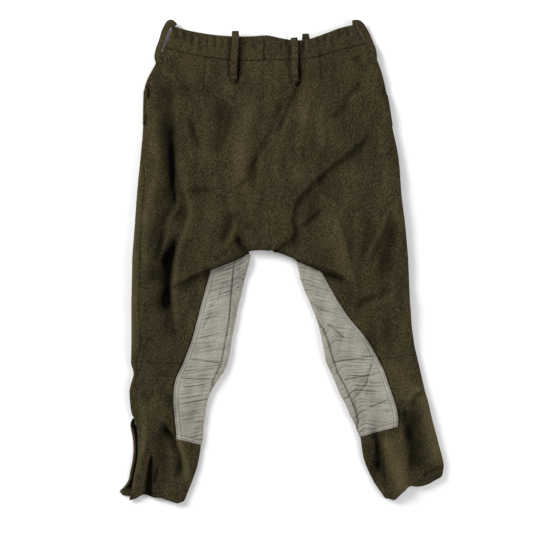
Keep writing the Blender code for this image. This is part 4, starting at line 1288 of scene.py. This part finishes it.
class BREECHES_OT_belt_loops(bpy.types.Operator):
    """Make the six belt loops"""

    bl_idname = "breeches.belt_loops"
    bl_label = "Belt loops"

    def execute(self, context):
        width = np.linspace(-0.5, 0.5, 5) * size("loop_width")
        for name, (side, tilt, line) in SIDE_LOOPS.items():
            ends = [
                (*end, top_height(side, end[0] + width, np.full(5, float(end[1]))).max() + SEAM)
                for end in (line[0], line[-1])
            ]
            centre = strip_centre([ends[0], *line[1:-1], ends[1]], LOOP_STEPS)
            loop_strip(name, centre, tilt)
        for name, (side, top, bottom) in BACK_LOOPS.items():
            t = np.linspace(0, 1, LOOP_STEPS + 1)
            plan = np.array(top) + np.outer(t, np.subtract(bottom, top))
            plan[:, 0] += 1.1 * np.sin(2 * math.pi * t)
            rise = size("loop_rise") * smoothstep(t / LOOP_SEWN_END - 0.3)
            rise *= smoothstep((1 - t) / LOOP_SEWN_END - 0.3)
            z = top_height(side, *plan.T) + size("band_raise") + SEAM + rise
            loop_strip(name, np.column_stack([plan, z]), 0.0)
        for name, (top, bottom) in FRONT_LOOPS.items():
            plan = np.array(top) + np.outer(np.linspace(0, 1, 9), np.subtract(bottom, top))
            loop_strip(name, np.column_stack([plan, np.zeros(9)]), 0.0)
        return {"FINISHED"}


class BREECHES_OT_stitching(bpy.types.Operator):
    """Make the stitches that show on the wool, along the hems"""

    bl_idname = "breeches.stitching"
    bl_label = "Stitching"

    def execute(self, context):
        pitch = size("stitch_pitch")
        rows = []
        for side in ROWS:
            v, points, normals, _ = grid_of("back", side)
            calf = rows_between(side, v, "knee", "hem")
            line = line_beside(points[calf] + 0.5 * normals[calf], normals[calf], "last row", HEM_DEPTH)
            rows.append(stitch_points(*line, pitch, 0.6 * pitch, 0.5, 0.16, 0.05))
        stitch_object("hem_stitches", rows, thread_material("wool_thread"))
        return {"FINISHED"}


class BREECHES_OT_stage(bpy.types.Operator):
    """Make the floor, the soft lights and the camera above"""

    bl_idname = "breeches.stage"
    bl_label = "Stage"

    def execute(self, context):
        scene = context.scene
        floor = bpy.data.meshes.new("floor")
        floor.from_pydata([(-4, -4, 0), (4, -4, 0), (4, 4, 0), (-4, 4, 0)], [], [(0, 1, 2, 3)])
        pale = {"Base Color": (0.93, 0.93, 0.93, 1.0)}
        floor.materials.append(new_material("floor", Roughness=0.9, **pale)[0])
        ground = bpy.data.objects.new("floor", floor)
        ground.location.z = -0.0004
        scene.collection.objects.link(ground)
        for name, (place, size, power) in LAMPS.items():
            light = bpy.data.lights.new(name, "AREA")
            light.size, light.energy = size, power
            lamp = bpy.data.objects.new(name, light)
            lamp.location = place
            lamp.rotation_euler = (-Vector(place)).to_track_quat("-Z", "Y").to_euler()
            scene.collection.objects.link(lamp)
        scene.world = bpy.data.worlds.new("studio")
        scene.world.use_nodes = True
        sky = scene.world.node_tree.nodes["Background"].inputs
        sky["Color"].default_value, sky["Strength"].default_value = (1, 1, 1, 1), 0.38
        lens = bpy.data.cameras.new("camera")
        lens.type, lens.angle = "PERSP", 2 * math.atan(VIEW_HALF / (CAMERA_AT[2] - CLOTH_HEIGHT))
        lens.dof.use_dof = False
        camera = bpy.data.objects.new("camera", lens)
        camera.location = CAMERA_AT
        scene.collection.objects.link(camera)
        scene.camera = camera
        scene.view_settings.view_transform = "Standard"
        return {"FINISHED"}


class BREECHES_PT_panel(bpy.types.Panel):
    """Sizes and colours of the breeches, and a button for each group of pieces"""

    bl_label = "Breeches"
    bl_space_type = "VIEW_3D"
    bl_region_type = "UI"
    bl_category = "Breeches"

    def draw(self, context):
        for group in (context.scene.breeches_sizes, context.scene.breeches_colours):
            for name in group.__annotations__:
                self.layout.prop(group, name)
        for operator in OPERATORS:
            self.layout.operator(operator.bl_idname)


OPERATORS = (
    BREECHES_OT_waistband, BREECHES_OT_backs, BREECHES_OT_calves, BREECHES_OT_fronts, BREECHES_OT_strapping,
    BREECHES_OT_pockets, BREECHES_OT_fly, BREECHES_OT_plackets, BREECHES_OT_belt_loops,
    BREECHES_OT_stitching, BREECHES_OT_stage,
)
CLASSES = (BreechesSizes, BreechesColours, *OPERATORS, BREECHES_PT_panel)


def register():
    for cls in CLASSES:
        bpy.utils.register_class(cls)
    bpy.types.Scene.breeches_sizes = PointerProperty(type=BreechesSizes)
    bpy.types.Scene.breeches_colours = PointerProperty(type=BreechesColours)


def unregister():
    del bpy.types.Scene.breeches_colours, bpy.types.Scene.breeches_sizes
    for cls in reversed(CLASSES):
        bpy.utils.unregister_class(cls)


def main():
    register()
    for operator in OPERATORS:
        group, name = operator.bl_idname.split(".")
        getattr(getattr(bpy.ops, group), name)()


if __name__ == "__main__":
    main()
